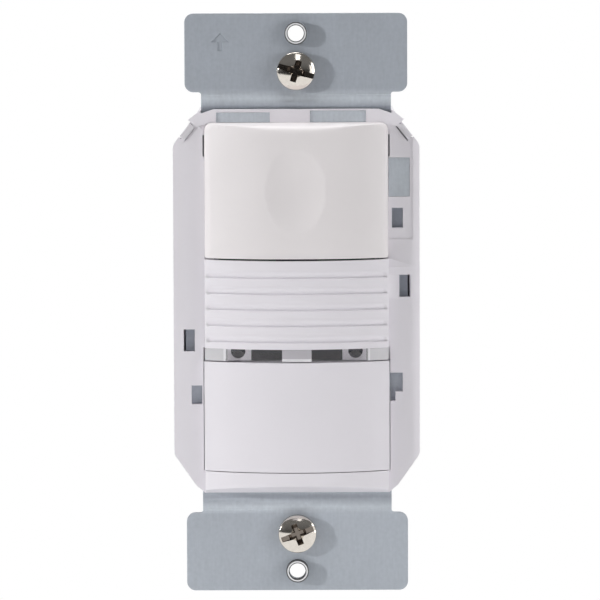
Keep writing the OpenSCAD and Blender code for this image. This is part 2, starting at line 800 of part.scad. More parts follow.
// Half section of the ribbed wall, as radius from the face's axis and level
module grille_section() {
    half = groove_pitch / 2;
    first_z = grille_top_z - groove_lead;
    last_z = first_z - (groove_count - 1) * groove_pitch;
    foot = max(0, 1 - (last_z - grille_bottom_z) / half);
    polygon(concat(
        [[face_r - face_wall, grille_bottom_z], [face_r - foot * groove_depth, grille_bottom_z]],
        [for (i = [groove_count - 1:-1:0], side = [0, 1])
            [face_r - (1 - side) * groove_depth, first_z - i * groove_pitch + side * half]],
        [[face_r, grille_top_z], [face_r - face_wall, grille_top_z]]
    ));
}

module grille_band() {
    mid_z = (grille_top_z + grille_bottom_z) / 2;
    band_len = grille_top_z - grille_bottom_z;
    intersection() {
        union() {
            translate([0, -face_axis_h, 0]) rotate_extrude($fn = face_fn) grille_section();
            intersection() {
                for (s = [-1, 1])
                    brick(
                        [s * (insert_w - side_wall) / 2, mid_z], [side_wall, band_len],
                        strap_front_h, edge_h
                    );
                face_space(groove_depth, grille_bottom_z, grille_top_z);
            }
        }
        brick([0, mid_z], [insert_w, band_len], strap_front_h, crown_h + past);
    }
}

// Side view of the bezel, with its sloping lower face
module bezel_section() {
    front_h = crown_h + past;
    polygon([
        [strap_front_h, bezel_bottom_z],
        [flange_h, bezel_bottom_z],
        [front_h, bezel_bottom_z + (front_h - flange_h) * tan(draft)],
        [front_h, bezel_top_z],
        [strap_front_h, bezel_top_z]
    ]);
}

module bezel() {
    intersection() {
        face_space(0, bezel_bottom_z - past, bezel_top_z + past);
        beam(-insert_w / 2, insert_w / 2) bezel_section();
    }
}

module hinge_lug(side) {
    low = min(side * lug_x, side * (lug_x + lug_t));
    difference() {
        union() {
            bar(hinge_h, hinge_z, lug_r, low, low + lug_t);
            translate([low, -hinge_h - lug_r, bezel_top_z - join])
                cube([lug_t, 2 * lug_r, hinge_rise + join]);
        }
        bar(hinge_h, hinge_z, pin_d / 2 + running_fit, low - past, low + lug_t + past);
    }
}

// The shelf behind the strip, open in front of the setting blocks, the light guide and the dials
module settings_shelf() {
    span = strip_leg_span - 2 * shelf_gap;
    plate_len = grille_bottom_z - strip_bottom_z;
    difference() {
        union() {
            brick([0, strip_bottom_z + plate_len / 2], [span, plate_len], shelf_h - shelf_t, shelf_h);
            intersection() {
                face_space(face_wall / 2, grille_bottom_z, grille_bottom_z + shelf_t);
                brick([0, grille_bottom_z + shelf_t / 2], [span, shelf_t], shelf_h - shelf_t, crown_h);
            }
        }
        brick(
            [0, grille_bottom_z - plate_len], [2 * dip_x + dip_w, 2 * plate_len],
            shelf_h - shelf_t - past, shelf_h + past
        );
        slab(shelf_h - shelf_t - past, shelf_h + past) intersection() {
            for (s = [-1, 1]) translate([s * trimmer_x, strip_top_z - strip_len / 5]) circle(d = dial_d);
            translate([-span / 2, strip_bottom_z]) square([span, plate_len]);
        }
    }
}

module front_cover() {
    pad_w = button_opening_w / 2 + join - strip_leg_span / 2;
    color("white") {
        cover_flange();
        grille_band();
        settings_shelf();
        bezel();
        for (s = [-1, 1]) {
            hinge_lug(s);
            brick(
                [s * (strip_leg_span + pad_w) / 2, (strip_bottom_z + grille_bottom_z) / 2],
                [pad_w, grille_bottom_z - strip_bottom_z], strap_front_h, strip_pad_h
            );
        }
    }
}

// Side view of the lens, or of the hollow that lies under its skin
module lens_section(under) {
    r = lens_round - under;
    middle_h = crown_h + join - lens_round;
    back = [lens_seat_h - past * sign(under), lens_top_z - under / cos(draft)];
    corner_z = lens_top_z - (middle_h + lens_round * sin(draft) - flange_h) * tan(draft);
    middle = [middle_h, corner_z - lens_round * cos(draft)];
    polygon(concat(
        [[back[0], lens_bottom_z + under], [crown_h + join - under, lens_bottom_z + under]],
        arc(middle, r, 0, 90 - draft),
        [[flange_h, back[1]], back]
    ));
}

// The hollow of the lens, stepped in rings that bend the heat towards the sensor
module lens_hollow() {
    rings = floor((lens_len - 2 * lens_wall) / fresnel_pitch);
    start = lens_bottom_z + lens_wall;
    intersection() {
        translate([0, -face_axis_h, 0]) rotate_extrude($fn = face_fn) polygon(concat(
            [[0, start - past], [face_r - lens_wall, start - past]],
            [for (i = [0:rings], side = [0, 1]) [
                face_r - lens_wall - side * fresnel_depth,
                start + (i + side) * fresnel_pitch - side * join / 3
            ]],
            [[0, start + (rings + 1) * fresnel_pitch]]
        ));
        beam(side_wall - lens_w / 2, lens_w / 2 - side_wall) lens_section(lens_wall);
    }
}

module sensor_lens() {
    color("whitesmoke") difference() {
        union() {
            intersection() {
                face_space(0, lens_bottom_z - past, lens_top_z + past);
                beam(-lens_w / 2, lens_w / 2) lens_section(0);
            }
            for (s = [-1, 1])
                brick(
                    [s * lens_w / 2, lens_tab_z], [2 * lens_tab_t, lens_tab_len],
                    strap_front_h + lens_fit, edge_h - join
                );
        }
        lens_hollow();
        translate([0, -crown_h - dish_r + dish_depth, dish_z]) sphere(r = dish_r, $fn = face_fn);
    }
}

// The strip, with a leg at each end and a light guide behind its middle
module clear_strip() {
    color("lightcyan", 0.5) {
        difference() {
            intersection() {
                face_space(strip_inset, strip_bottom_z, strip_top_z);
                brick([0, strip_mid_z], [strip_w, strip_len + past], strip_pad_h, crown_h);
            }
            brick([0, strip_mid_z], [strip_leg_span, strip_len + past], 0, strip_back_h);
        }
        brick([0, strip_mid_z], [guide_w, strip_len], guide_h, strip_back_h + join);
    }
}

module button_arm(side) {
    outer = lug_x - arm_gap;
    low = min(side * outer, side * (outer - arm_t));
    pin = [side * (outer - join), side * (lug_x + lug_t - running_fit)];
    intersection() {
        translate([low, -crown_h, hinge_z - lug_r + running_fit])
            cube([arm_t, crown_h - hinge_h + pin_d / 2, 2 * lug_r]);
        face_space(button_wall / 2, hinge_z - 2 * lug_r, hinge_z + 2 * lug_r);
    }
    bar(hinge_h, hinge_z, pin_d / 2, min(pin), max(pin));
}

module on_off_button() {
    mid_z = (button_top_z + button_bottom_z) / 2;
    button_len = button_top_z - button_bottom_z;
    color("white") {
        difference() {
            intersection() {
                face_space(0, button_bottom_z, button_top_z);
                brick([0, mid_z], [button_w, button_len + past], skirt_h, crown_h + past);
            }
            intersection() {
                face_space(button_wall, button_bottom_z - past, button_top_z - button_wall);
                brick([0, mid_z], [button_w - 2 * side_wall, button_len + 2 * past], 0, crown_h);
            }
        }
        for (s = [-1, 1]) button_arm(s);
        peg([0, switch_z], post_d / 2, post_tip_h + post_tip_len, crown_h - button_wall / 2);
        peg([0, switch_z], post_tip_d / 2, post_tip_h, post_tip_h + post_tip_len + join);
    }
}

// Children in a frame whose x axis runs along the cover's upper slope and whose y axis points out
module on_slope() {
    translate([slope_mid[0], slope_mid[1]]) rotate(slope_angle - 180) children();
}

module latch(side) {
    foot_h = strap_front_h - latch_slit_len;
    mirror([side < 0 ? 1 : 0, 0, 0]) {
        slab(foot_h, flange_h + rail_gap / 2 + latch_hook_t) on_slope()
            translate([-latch_len / 2, rail_gap / 3]) square([latch_len, latch_t]);
        slab(flange_h + rail_gap / 2, flange_h + rail_gap / 2 + latch_hook_t) on_slope()
            translate([-latch_len / 2, -latch_hook]) square([latch_len, latch_hook + latch_t]);
    }
}

module latch_slits(side) {
    foot_h = strap_front_h - latch_slit_len;
    mirror([side < 0 ? 1 : 0, 0, 0]) for (s = [-1, 1])
        slab(foot_h, strap_front_h + past) on_slope()
            translate([s * (latch_len + latch_slit_w) / 2, 0])
                square([latch_slit_w, 4 * housing_wall], center = true);
}

module housing_shell() {
    difference() {
        slab(-housing_depth, strap_front_h) polygon(housing_outline);
        slab(rear_inner_h, strap_front_h + past) polygon(inset(housing_outline, housing_wall));
        slab(strap_back_h, strap_front_h + past)
            square([neck_w + 2 * rail_gap, 3 * flange_top], center = true);
        for (s = [-1, 1]) latch_slits(s);
        slab(-housing_depth - past, label_depth - housing_depth)
            translate([0, board_z + lead_rise]) square([label_w, label_len], center = true);
        for (i = [-1:1])
            peg(
                [i * lead_pitch, lead_rise - housing_bottom], lead_hole_d / 2,
                -housing_depth - past, rear_inner_h + past
            );
    }
}

module column(at, top_h, screw_top_h) {
    difference() {
        peg(at, column_d / 2, rear_inner_h - join, top_h);
        peg(at, board_screw_d / 2 + running_fit, screw_top_h - board_screw_len - join, top_h + past);
    }
}

module rear_housing() {
    color("gainsboro") {
        housing_shell();
        for (s = [-1, 1]) {
            brick(
                [s * (inner_half_w - (rail_ledge_w - join) / 2), 0],
                [rail_ledge_w + join, 2 * rail_half_len],
                strap_back_h - rail_ledge_t, strap_back_h
            );
            latch(s);
        }
        for (sx = [-1, 1], sz = [-1, 1]) {
            column([sx * column_x, board_z + sz * column_z], control_back_h, control_front_h);
            column([sx * boss_x, board_z + sz * boss_z], power_back_h, power_front_h);
        }
    }
}

// A circuit board with holes for its four screws
module board(w, l, back_h, hole_x, hole_z) {
    difference() {
        brick([0, board_z], [w, l], back_h, back_h + board_t);
        for (sx = [-1, 1], sz = [-1, 1])
            peg(
                [sx * hole_x, board_z + sz * hole_z], board_screw_d / 2 + link_fit,
                back_h - past, back_h + board_t + past
            );
    }
}

// Holes or pins on the sensor's pin circle
module sensor_pins(r, from_h, to_h) {
    for (a = [-45, 45, 180])
        peg([sensor_pin_circle / 2 * sin(a), dish_z + sensor_pin_circle / 2 * cos(a)], r, from_h, to_h);
}

module control_board() {
    color("darkgreen") difference() {
        board(control_w, control_len, control_back_h, column_x, column_z);
        sensor_pins(sensor_pin_d / 2 + sensor_pin_fit, control_back_h - past, control_front_h + past);
    }
}

module power_board() {
    color("darkgreen") board(power_w, power_len, power_back_h, boss_x, boss_z);
}

module board_screw_set(x, z, seat_h) {
    color("silver") for (sx = [-1, 1], sz = [-1, 1]) {
        at = [sx * x, board_z + sz * z];
        difference() {
            peg(at, board_head_d / 2, seat_h, seat_h + board_head_rise);
            for (size = [[board_head_d / 2, board_screw_d / 4], [board_screw_d / 4, board_head_d / 2]])
                brick(at, size, seat_h + board_head_rise / 2, seat_h + board_head_rise + past);
        }
        peg(at, board_screw_d / 2, seat_h - board_screw_len, seat_h + board_head_rise / 4);
    }
}

module control_board_screws() {
    board_screw_set(column_x, column_z, control_front_h);
}

module power_board_screws() {
    board_screw_set(boss_x, boss_z, power_front_h);
}

function link_x(i) = (i - (link_pins - 1) / 2) * link_pitch;

module board_link_pins() {
    color("goldenrod") {
        brick([0, link_z], [link_pins * link_pitch, link_w], power_front_h, power_front_h + link_w);
        for (i = [0:link_pins - 1])
            brick(
                [link_x(i), link_z], [link_pin_w, link_pin_w],
                power_front_h + link_w / 2, link_bottom_h + link_grip
            );
    }
}

module board_link_socket() {
    hole = link_pin_w + 2 * link_fit;
    color("dimgray") difference() {
        brick([0, link_z], [link_pins * link_pitch, link_w], link_bottom_h, control_back_h);
        for (i = [0:link_pins - 1])
            brick([link_x(i), link_z], [hole, hole], link_bottom_h - past, link_bottom_h + link_grip + past);
    }
}

module sensor_spacer() {
    color("ivory") difference() {
        peg([0, dish_z], spacer_d / 2, control_front_h, spacer_h);
        sensor_pins(sensor_pin_d / 2 + sensor_pin_fit, control_front_h - past, spacer_h + past);
    }
}

module sensor_base() {
    color("gold") {
        peg([0, dish_z], base_d / 2, spacer_h, base_h);
        sensor_pins(sensor_pin_d / 2, control_back_h - sensor_pin_tail, spacer_h + base_t / 2);
    }
}

module sensor_can() {
    color("silver") difference() {
        peg([0, dish_z], can_d / 2, base_h, can_h);
        peg([0, dish_z], can_d / 2 - can_wall, base_h - past, can_h - can_wall);
        brick([0, dish_z], [can_window_w, can_window_len], base_h, can_h + past);
    }
}

module sensor_filter() {
    size = [can_window_w + 2 * filter_lap, can_window_len + 2 * filter_lap];
    color("darkslategray") brick([0, dish_z], size, can_h - can_wall - filter_t, can_h - can_wall);
}

module push_switch_body() {
    at = [0, switch_z];
    color("black") difference() {
        brick(at, [tact_w, tact_w], control_front_h, tact_h);
        peg(at, plunger_d / 2 + running_fit, tact_h - plunger_room, tact_h + past);
        peg(
            at, plunger_d / 2 + plunger_collar + running_fit,
            tact_h - 2 * plunger_room - plunger_collar_t / 2, tact_h - plunger_room / 2
        );
    }
}

module push_switch_plunger() {
    at = [0, switch_z];
    collar_top_h = tact_h - plunger_room / 2 - running_fit;
    color("dimgray") {
        peg(at, plunger_d / 2, collar_top_h - plunger_collar_t, plunger_h);
        peg(at, plunger_d / 2 + plunger_collar, collar_top_h - plunger_collar_t, collar_top_h);
    }
}

function slider_x(side, i) = side * dip_x + (i - (dip_count + 1) / 2) * dip_pitch;

module setting_block(side) {
    slot_size = [slider_w + 2 * slider_fit, slider_len + slider_travel + 2 * slider_fit];
    color("black") difference() {
        brick([side * dip_x, dip_z], [dip_w, dip_len], control_front_h, dip_h);
        for (i = [1:dip_count])
            brick([slider_x(side, i), dip_z], slot_size, dip_h - slider_slot, dip_h + past);
    }
}

module setting_block_left() {
    setting_block(-1);
}

module setting_block_right() {
    setting_block(1);
}

// A slider at the lower end of its slot, where its setting is off
module slider(side, i) {
    color("white") brick(
        [slider_x(side, i), dip_z - slider_travel / 2], [slider_w, slider_len],
        dip_h - slider_slot + slider_fit, dip_h + slider_rise
    );
}

module trimmer(side) {
    at = [side * trimmer_x, setting_z];
    color("royalblue") difference() {
        brick(at, [trimmer_w, trimmer_w], control_front_h, trimmer_h);
        peg(at, dial_stem_d / 2 + running_fit, trimmer_h - dial_stem_len - running_fit, trimmer_h + past);
    }
}

module dial(side) {
    at = [side * trimmer_x, setting_z];
    seat_h = trimmer_h + running_fit;
    color("dimgray") difference() {
        union() {
            peg(at, dial_d / 2, seat_h, seat_h + dial_t);
            peg(at, dial_stem_d / 2, trimmer_h - dial_stem_len, seat_h + dial_t / 2);
        }
        brick(at, [dial_slot_w, 2 * dial_d], seat_h + dial_t - dial_slot_depth, seat_h + dial_t + past);
    }
}

module time_trimmer() {
    trimmer(-1);
}

module time_dial() {
    dial(-1);
}

module range_trimmer() {
    trimmer(1);
}

module range_dial() {
    dial(1);
}

module indicator_lamp() {
    at = [-lamp_x, setting_z];
    dome_h = control_front_h + lamp_rise - lamp_d / 2;
    color("lightgreen", 0.8) {
        peg(at, lamp_d / 2, control_front_h, dome_h);
        translate([at[0], -dome_h, at[1]]) sphere(d = lamp_d);
    }
}

module light_cell() {
    color("orange") peg([lamp_x, setting_z], cell_d / 2, control_front_h, control_front_h + cell_rise);
}

module processor() {
    color("black")
        brick([0, chip_z], [chip_w, chip_len], control_front_h + chip_pin_t, control_front_h + chip_rise);
    color("silver") for (s = [-1, 1], i = [0:chip_pins - 1])
        brick(
            [s * (chip_w + chip_pin_len) / 2 - s * join / 2, chip_z + (i - (chip_pins - 1) / 2) * chip_pitch],
            [chip_pin_len + join, chip_pin_w], control_front_h, control_front_h + 2 * chip_pin_t
        );
}

module relay() {
    color("royalblue")
        brick([relay_x, relay_z], [relay_w, relay_len], power_front_h, power_front_h + relay_rise);
}

module film_capacitor() {
    color("goldenrod")
        brick([film_x, film_z], [film_w, film_len], power_front_h, power_front_h + film_rise);
}

module electrolytic_capacitor() {
    r = can_cap_d / 2;
    color("midnightblue") facing(power_front_h) translate([can_cap_x, can_cap_z, 0]) rotate_extrude()
        polygon([
            [0, 0], [r, 0], [r, 3 * can_cap_groove], [r - can_cap_groove, 4.5 * can_cap_groove],
            [r, 6 * can_cap_groove], [r, can_cap_rise - can_cap_groove], [r - can_cap_groove, can_cap_rise],
            [0, can_cap_rise]
        ]);
}

module varistor() {
    middle_h = power_front_h + varistor_lift + varistor_d / 2;
    color("teal") {
        translate([varistor_x, -middle_h, varistor_z - varistor_t / 2])
            cylinder(d = varistor_d, h = varistor_t);
        for (s = [-1, 1])
            peg([varistor_x + s * varistor_pitch / 2, varistor_z], leg_d / 2, power_front_h, middle_h);
    }
}

module fusible_resistor() {
    middle_h = power_front_h + resistor_lift;
    body = resistor_len / 2;
    reach = resistor_pitch / 2;
    color("tan") {
        bar(middle_h, resistor_z, resistor_d / 2, resistor_x - body, resistor_x + body);
        bar(middle_h, resistor_z, leg_d / 2, resistor_x - reach, resistor_x + reach);
        for (s = [-1, 1])
            peg([resistor_x + s * (reach - leg_d / 2), resistor_z], leg_d / 2, power_front_h, middle_h);
    }
}

mounting_strap();
upper_mounting_screw();
lower_mounting_screw();
screw_retainers();
front_cover();
sensor_lens();
clear_strip();
on_off_button();
rear_housing();
control_board();
power_board();
control_board_screws();
power_board_screws();
board_link_pins();
board_link_socket();
sensor_spacer();
sensor_base();
sensor_can();
sensor_filter();
push_switch_body();
push_switch_plunger();
setting_block_left();
setting_block_right();
slider(-1, 1);  // slider_left_1
slider(-1, 2);  // slider_left_2
slider(-1, 3);  // slider_left_3
slider(-1, 4);  // slider_left_4
slider(1, 1);  // slider_right_1
slider(1, 2);  // slider_right_2
slider(1, 3);  // slider_right_3
slider(1, 4);  // slider_right_4
time_trimmer();
time_dial();
range_trimmer();
range_dial();
indicator_lamp();
light_cell();
processor();
relay();
film_capacitor();
electrolytic_capacitor();
varistor();
fusible_resistor();
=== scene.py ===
# A wall switch with an infrared motion sensor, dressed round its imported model, in metres.
# It follows the switch as it is put together: housing, boards, strap, screws, cover, lens, strip and button.
# Each mesh is shaped in millimetres, with h its height in front of the wall, and scaled when it is finished.
import math

import bmesh
import bpy
from mathutils import Matrix, Vector


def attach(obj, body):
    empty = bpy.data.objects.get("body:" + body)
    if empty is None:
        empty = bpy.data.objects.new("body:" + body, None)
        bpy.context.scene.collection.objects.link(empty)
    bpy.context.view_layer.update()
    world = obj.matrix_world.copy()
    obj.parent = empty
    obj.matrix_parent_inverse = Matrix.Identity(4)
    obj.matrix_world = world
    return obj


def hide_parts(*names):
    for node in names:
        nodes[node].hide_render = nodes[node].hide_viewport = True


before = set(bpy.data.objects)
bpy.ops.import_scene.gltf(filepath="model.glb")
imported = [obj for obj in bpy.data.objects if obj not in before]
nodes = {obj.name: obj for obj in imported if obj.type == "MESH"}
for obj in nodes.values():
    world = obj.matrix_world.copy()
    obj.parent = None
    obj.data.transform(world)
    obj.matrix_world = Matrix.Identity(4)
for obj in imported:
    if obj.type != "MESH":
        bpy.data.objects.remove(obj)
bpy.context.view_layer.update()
scene = bpy.context.scene
scene.view_settings.view_transform = "Standard"

# Camera.
# It stands straight in front of the switch and a little above it, with a long lens.
# The picture leans by a fifth of a degree, as a hand-aligned one does.
aim = Vector((0.0006, 0, 0.00045))
distance = 0.79
look_down = math.radians(4.2)
lean = math.radians(-0.2)
camera = bpy.data.objects.new("camera", bpy.data.cameras.new("camera"))
camera.data.lens = 263.3
camera.data.sensor_width = 36
camera.data.clip_start = 0.01
stand = aim + distance * Vector((0, -math.cos(look_down), math.sin(look_down)))
facing = Matrix.Rotation(math.pi / 2 - look_down, 4, "X") @ Matrix.Rotation(lean, 4, "Z")
camera.matrix_world = Matrix.Translation(stand) @ facing
scene.collection.objects.link(camera)
scene.camera = camera

# Light.
# A lamp far to the left throws the short, clear shadows to the right.
# A wide soft panel on the right fills them in, others light the tops and the back, and a small box the plated heads.
for name, place, width, length, power in (
    ("left_lamp", (-1.15, -0.476, 0.235), 0.07, 0.07, 6.9),
    ("right_panel", (1.25, -0.38, 0.2), 0.8, 0.8, 6.7),
    ("right_strip", (0.98, -0.7, 0.12), 0.12, 0.6, 0.3),
    ("top_panel", (-0.1, 0.06, 1.14), 0.8, 0.8, 12.3),
    ("front_box", (0.12, -0.72, 0.82), 0.25, 0.25, 0.5),
    ("back_panel", (0.5, 1.1, 0.5), 0.6, 0.6, 3.6),
):
    lamp = bpy.data.lights.new(name, "AREA")
    lamp.shape = "RECTANGLE"
    lamp.size = width
    lamp.size_y = length
    lamp.energy = power
    holder = bpy.data.objects.new(name, lamp)
    holder.location = place
    holder.rotation_euler = (-Vector(place)).to_track_quat("-Z", "Y").to_euler()
    scene.collection.objects.link(holder)


# Room and floor.
# The room is grey, darker at eye level than overhead, so that plated metal has something to reflect.
# The camera sees it white, and the matt white floor keeps a trace of the switch's shadow.
class Shade:
    """A socket in a node tree. Sums on it add Math nodes, and add() makes any other node."""

    def __init__(self, tree, socket=None):
        self.tree = tree
        self.socket = socket

    def add(self, kind, settings, sockets, out=0):
        node = self.tree.nodes.new(kind)
        for key, value in settings.items():
            if key == "stops":
                for at, tone in value[1:-1]:
                    node.color_ramp.elements.new(at)
                for stop, (at, tone) in zip(node.color_ramp.elements, value):
                    stop.position = at
                    stop.color = (tone, tone, tone, 1)
            else:
                setattr(node, key, value)
        for key, value in sockets.items():
            if isinstance(value, Shade):
                self.tree.links.new(value.socket, node.inputs[key])
            else:
                node.inputs[key].default_value = value
        return Shade(self.tree, node.outputs[out])

    def sum(self, operation, a, b):
        return self.add("ShaderNodeMath", {"operation": operation}, {0: a, 1: b})

    def __add__(self, other):
        return self.sum("ADD", self, other)

    __radd__ = __add__

    def __mul__(self, other):
        return self.sum("MULTIPLY", self, other)

    __rmul__ = __mul__

    def __sub__(self, other):
        return self.sum("SUBTRACT", self, other)

    def __rsub__(self, other):
        return self.sum("SUBTRACT", other, self)

    def __gt__(self, other):
        return self.sum("GREATER_THAN", self, other)

    def __lt__(self, other):
        return self.sum("LESS_THAN", self, other)

    def __abs__(self):
        return self.sum("ABSOLUTE", self, 0)


def between(start, share, first, second):
    """A mix of two colours, each given as red, green and blue or as a socket."""
    ends = [end if isinstance(end, Shade) else (*end, 1) for end in (first, second)]
    return start.add("ShaderNodeMix", {"data_type": "RGBA"}, {0: share, 6: ends[0], 7: ends[1]}, 2)


room = bpy.data.worlds.new("room")
room.use_nodes = True
scene.world = room
start = Shade(room.node_tree)
direction = start.add("ShaderNodeTexCoord", {}, {}, "Generated")
upward = start.add("ShaderNodeSeparateXYZ", {}, {0: direction}, "Z")
walls = start.add("ShaderNodeValToRGB", {"stops": (
    (0.0, 0.1), (0.42, 0.03), (0.5, 0.03), (0.58, 0.1), (0.75, 0.17), (1.0, 0.15))}, {0: 0.5 + 0.5 * upward})
by_camera = start.add("ShaderNodeLightPath", {}, {}, "Is Camera Ray")
seen = between(start, by_camera, walls, (1, 1, 1))
room.node_tree.links.new(seen.socket, room.node_tree.nodes["Background"].inputs["Color"])

floor_half = 60
floor_front = -0.34
floor_z = -0.0535
bm = bmesh.new()
bmesh.ops.create_grid(bm, x_segments=1, y_segments=1, size=floor_half)
bmesh.ops.translate(bm, verts=bm.verts, vec=(0, floor_half + floor_front, floor_z))
floor_mesh = bpy.data.meshes.new("floor")
bm.to_mesh(floor_mesh)
bm.free()
floor = bpy.data.objects.new("floor", floor_mesh)
scene.collection.objects.link(floor)
floor_white = bpy.data.materials.new("floor_white")
floor_white.use_nodes = True
matt = floor_white.node_tree.nodes["Principled BSDF"]
matt.inputs["Base Color"].default_value = (0.85, 0.85, 0.85, 1)
matt.inputs["Roughness"].default_value = 0.9
start = Shade(floor_white.node_tree)
by_camera = start.add("ShaderNodeLightPath", {}, {}, "Is Camera Ray")
by_gloss = start.add("ShaderNodeLightPath", {}, {}, "Is Glossy Ray")
glow = start.add("ShaderNodeEmission", {}, {})
floor_seen = start.add("ShaderNodeMixShader", {}, {
    0: 0.8 * by_camera + 0.8 * by_gloss + 0.2, 1: Shade(start.tree, matt.outputs[0]), 2: glow})
start.tree.links.new(floor_seen.socket, start.tree.nodes["Material Output"].inputs["Surface"])
floor_mesh.materials.append(floor_white)


# Rear housing.
# The box that goes into the wall, moulded in one piece of white plastic with a fine satin face.
# Two latches at its upper corners hook over the cover, and three holes in its floor let the leads out.
def new_finish(name, **constants):
    """A material, its Principled shader with these constants, and the start of its node tree."""
    finish = bpy.data.materials.new(name)
    finish.use_nodes = True
    shader = finish.node_tree.nodes["Principled BSDF"]
    for key, value in constants.items():
        shader.inputs[key.replace("_", " ")].default_value = value
    return finish, shader, Shade(finish.node_tree)


def feed(shader, key, shade):
    shade.tree.links.new(shade.socket, shader.inputs[key])


def place_of(start):
    return start.add("ShaderNodeTexCoord", {}, {}, "Object")


def mottle(start, scale, detail=2.0, at=None):
    return start.add("ShaderNodeTexNoise", {}, {
        "Vector": at or place_of(start), "Scale": scale, "Detail": detail}, "Fac")


def relief(shader, start, height_shade, depth, strength):
    feed(shader, "Normal", start.add("ShaderNodeBump", {}, {
        "Strength": strength, "Distance": depth, "Height": height_shade}, "Normal"))


def join_flat(bm):
    """Joins the faces that lie in one plane."""
    bmesh.ops.dissolve_limit(bm, angle_limit=0.008, verts=bm.verts, edges=bm.edges)


def copy_of(node):
    """A copy of a CAD node in millimetres, with its corners merged and its flat faces joined."""
    bm = bmesh.new()
    bm.from_mesh(nodes[node].data)
    bmesh.ops.scale(bm, vec=(1000, 1000, 1000), verts=bm.verts)
    bmesh.ops.remove_doubles(bm, verts=bm.verts, dist=0.002)
    join_flat(bm)
    return bm


def round_over(bm, radius, pick, steps=3, least=0.4):
    """Rounds the edges that turn by more than least and whose middle, as x, h and z, and direction are picked."""
    edges = []
    for edge in bm.edges:
        if edge.is_manifold and edge.calc_face_angle() > least:
            middle = (edge.verts[0].co + edge.verts[1].co) / 2
            along = (edge.verts[1].co - edge.verts[0].co).normalized()
            if pick(middle.x, -middle.y, middle.z, along):
                edges.append(edge)
    bmesh.ops.bevel(
        bm, geom=edges, offset=radius, offset_type="OFFSET", segments=steps, profile=0.5,
        affect="EDGES", clamp_overlap=True, material=-1)


def finish_piece(bm, name, finish, body, slot, *replaced, sharp=35):
    """Makes a piece of a mesh in millimetres, hangs it on its body and hides the nodes that it stands for."""
    bmesh.ops.remove_doubles(bm, verts=bm.verts, dist=0.001)
    bmesh.ops.dissolve_degenerate(bm, edges=bm.edges, dist=0.0005)
    bmesh.ops.recalc_face_normals(bm, faces=bm.faces)
    bmesh.ops.scale(bm, vec=(0.001, 0.001, 0.001), verts=bm.verts)
    mesh = bpy.data.meshes.new(name)
    bm.to_mesh(mesh)
    bm.free()
    mesh.materials.append(finish)
    mesh.shade_smooth()
    mesh.set_sharp_from_angle(angle=math.radians(sharp))
    piece = bpy.data.objects.new(name, mesh)
    scene.collection.objects.link(piece)
    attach(piece, body)
    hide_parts(*replaced)
    even = piece.modifiers.new("even_shading", "WEIGHTED_NORMAL")
    even.keep_sharp = True


def satin(name, dark, light):
    """Moulded plastic with a cloudy tone and a fine spark-eroded texture."""
    finish, shader, start = new_finish(name, Specular_IOR_Level=0.3)
    feed(shader, "Base Color", between(start, mottle(start, 55), dark, light))
    feed(shader, "Roughness", 0.5 + 0.14 * mottle(start, 900))
    relief(shader, start, mottle(start, 5200), 0.00002, 0.2)
    return finish


housing_white = satin("satin_housing_plastic", (0.69, 0.672, 0.705), (0.725, 0.707, 0.74))
# A slope cuts each upper corner. It faces outward and up, and a latch stands at its middle
slope_x, slope_z = Vector((6.35, 5.05)).normalized()
latch_x = 19.525
latch_z = 30.975
latch_half = 1.5
latch_outside = 0.5
latch_inside = -0.62
latch_edge_h = 3.7
latch_top_h = 3.88
lug_x = 17.04
lug_top_z = 34.55
housing_back_h = -36.8
bm = copy_of("rear_housing")
# The gap beside the strap's neck is closed up to a hair
for v in bm.verts:
    if 17.0 < abs(v.co.x) < 17.49 and v.co.z > 30 and v.co.y < 0.3:
        v.co.x = math.copysign(lug_x, v.co.x)
    if 17.0 < abs(v.co.x) < 17.6 and v.co.z > 34.5 and v.co.y < 0.3:
        v.co.z = lug_top_z
# The latches lie flush in the cover's notches
for v in bm.verts:
    out = (abs(v.co.x) - latch_x) * slope_x + (v.co.z - latch_z) * slope_z
    along = (abs(v.co.x) - latch_x) * slope_z - (v.co.z - latch_z) * slope_x
    if abs(along) < latch_half and (v.co.y < -2.05 or out > 0.9):
        shift = (latch_outside if out > 0.9 else latch_inside if out < 0 else out) - out
        v.co.x += math.copysign(1, v.co.x) * shift * slope_x
        v.co.z += shift * slope_z
        if v.co.y < -3.6:
            v.co.y = -latch_edge_h if v.co.y > -4.0 else -latch_top_h
for corner_x, corner_z, size in ((21.85, 28.0, 0.7), (21.85, -27.05, 0.7), (17.3, -33.45, 0.6), (17.5, 34.9, 0.5)):
    round_over(bm, size, lambda x, h, z, along: abs(along.y) > 0.95 and h < 0 and (
        math.hypot(abs(x) - corner_x, z - corner_z) < 0.3), 5, 0.3)
round_over(bm, 0.8, lambda x, h, z, along: h < housing_back_h + 0.1 and not (abs(x) < 16 and -31 < z < 33), 5)
round_over(bm, 0.1, lambda x, h, z, along: h > 2.2)
round_over(bm, 0.22, lambda x, h, z, along: 1.5 < h < 2.2 or h < housing_back_h + 0.8)
finish_piece(bm, "housing_box", housing_white, "base", "white_plastic", "rear_housing")


# Power board.
# A green glass-fibre board in the rear of the housing, with the parts that make the supply and switch the load.
# The parts are soldered in, and screws hold the board to the housing's posts.
def coat(name, dark, light, rough, metal, *where):
    """Gives CAD nodes a finish that is mottled between two tones and faintly uneven."""
    finish, shader, start = new_finish(name, Metallic=metal)
    tone = mottle(start, 1400, 3.0)
    feed(shader, "Base Color", between(start, tone, dark, light))
    feed(shader, "Roughness", rough - 0.06 + 0.12 * tone)
    relief(shader, start, mottle(start, 4000), 0.00002, 0.3)
    for node in where:
        nodes[node].data.materials.clear()
        nodes[node].data.materials.append(finish)


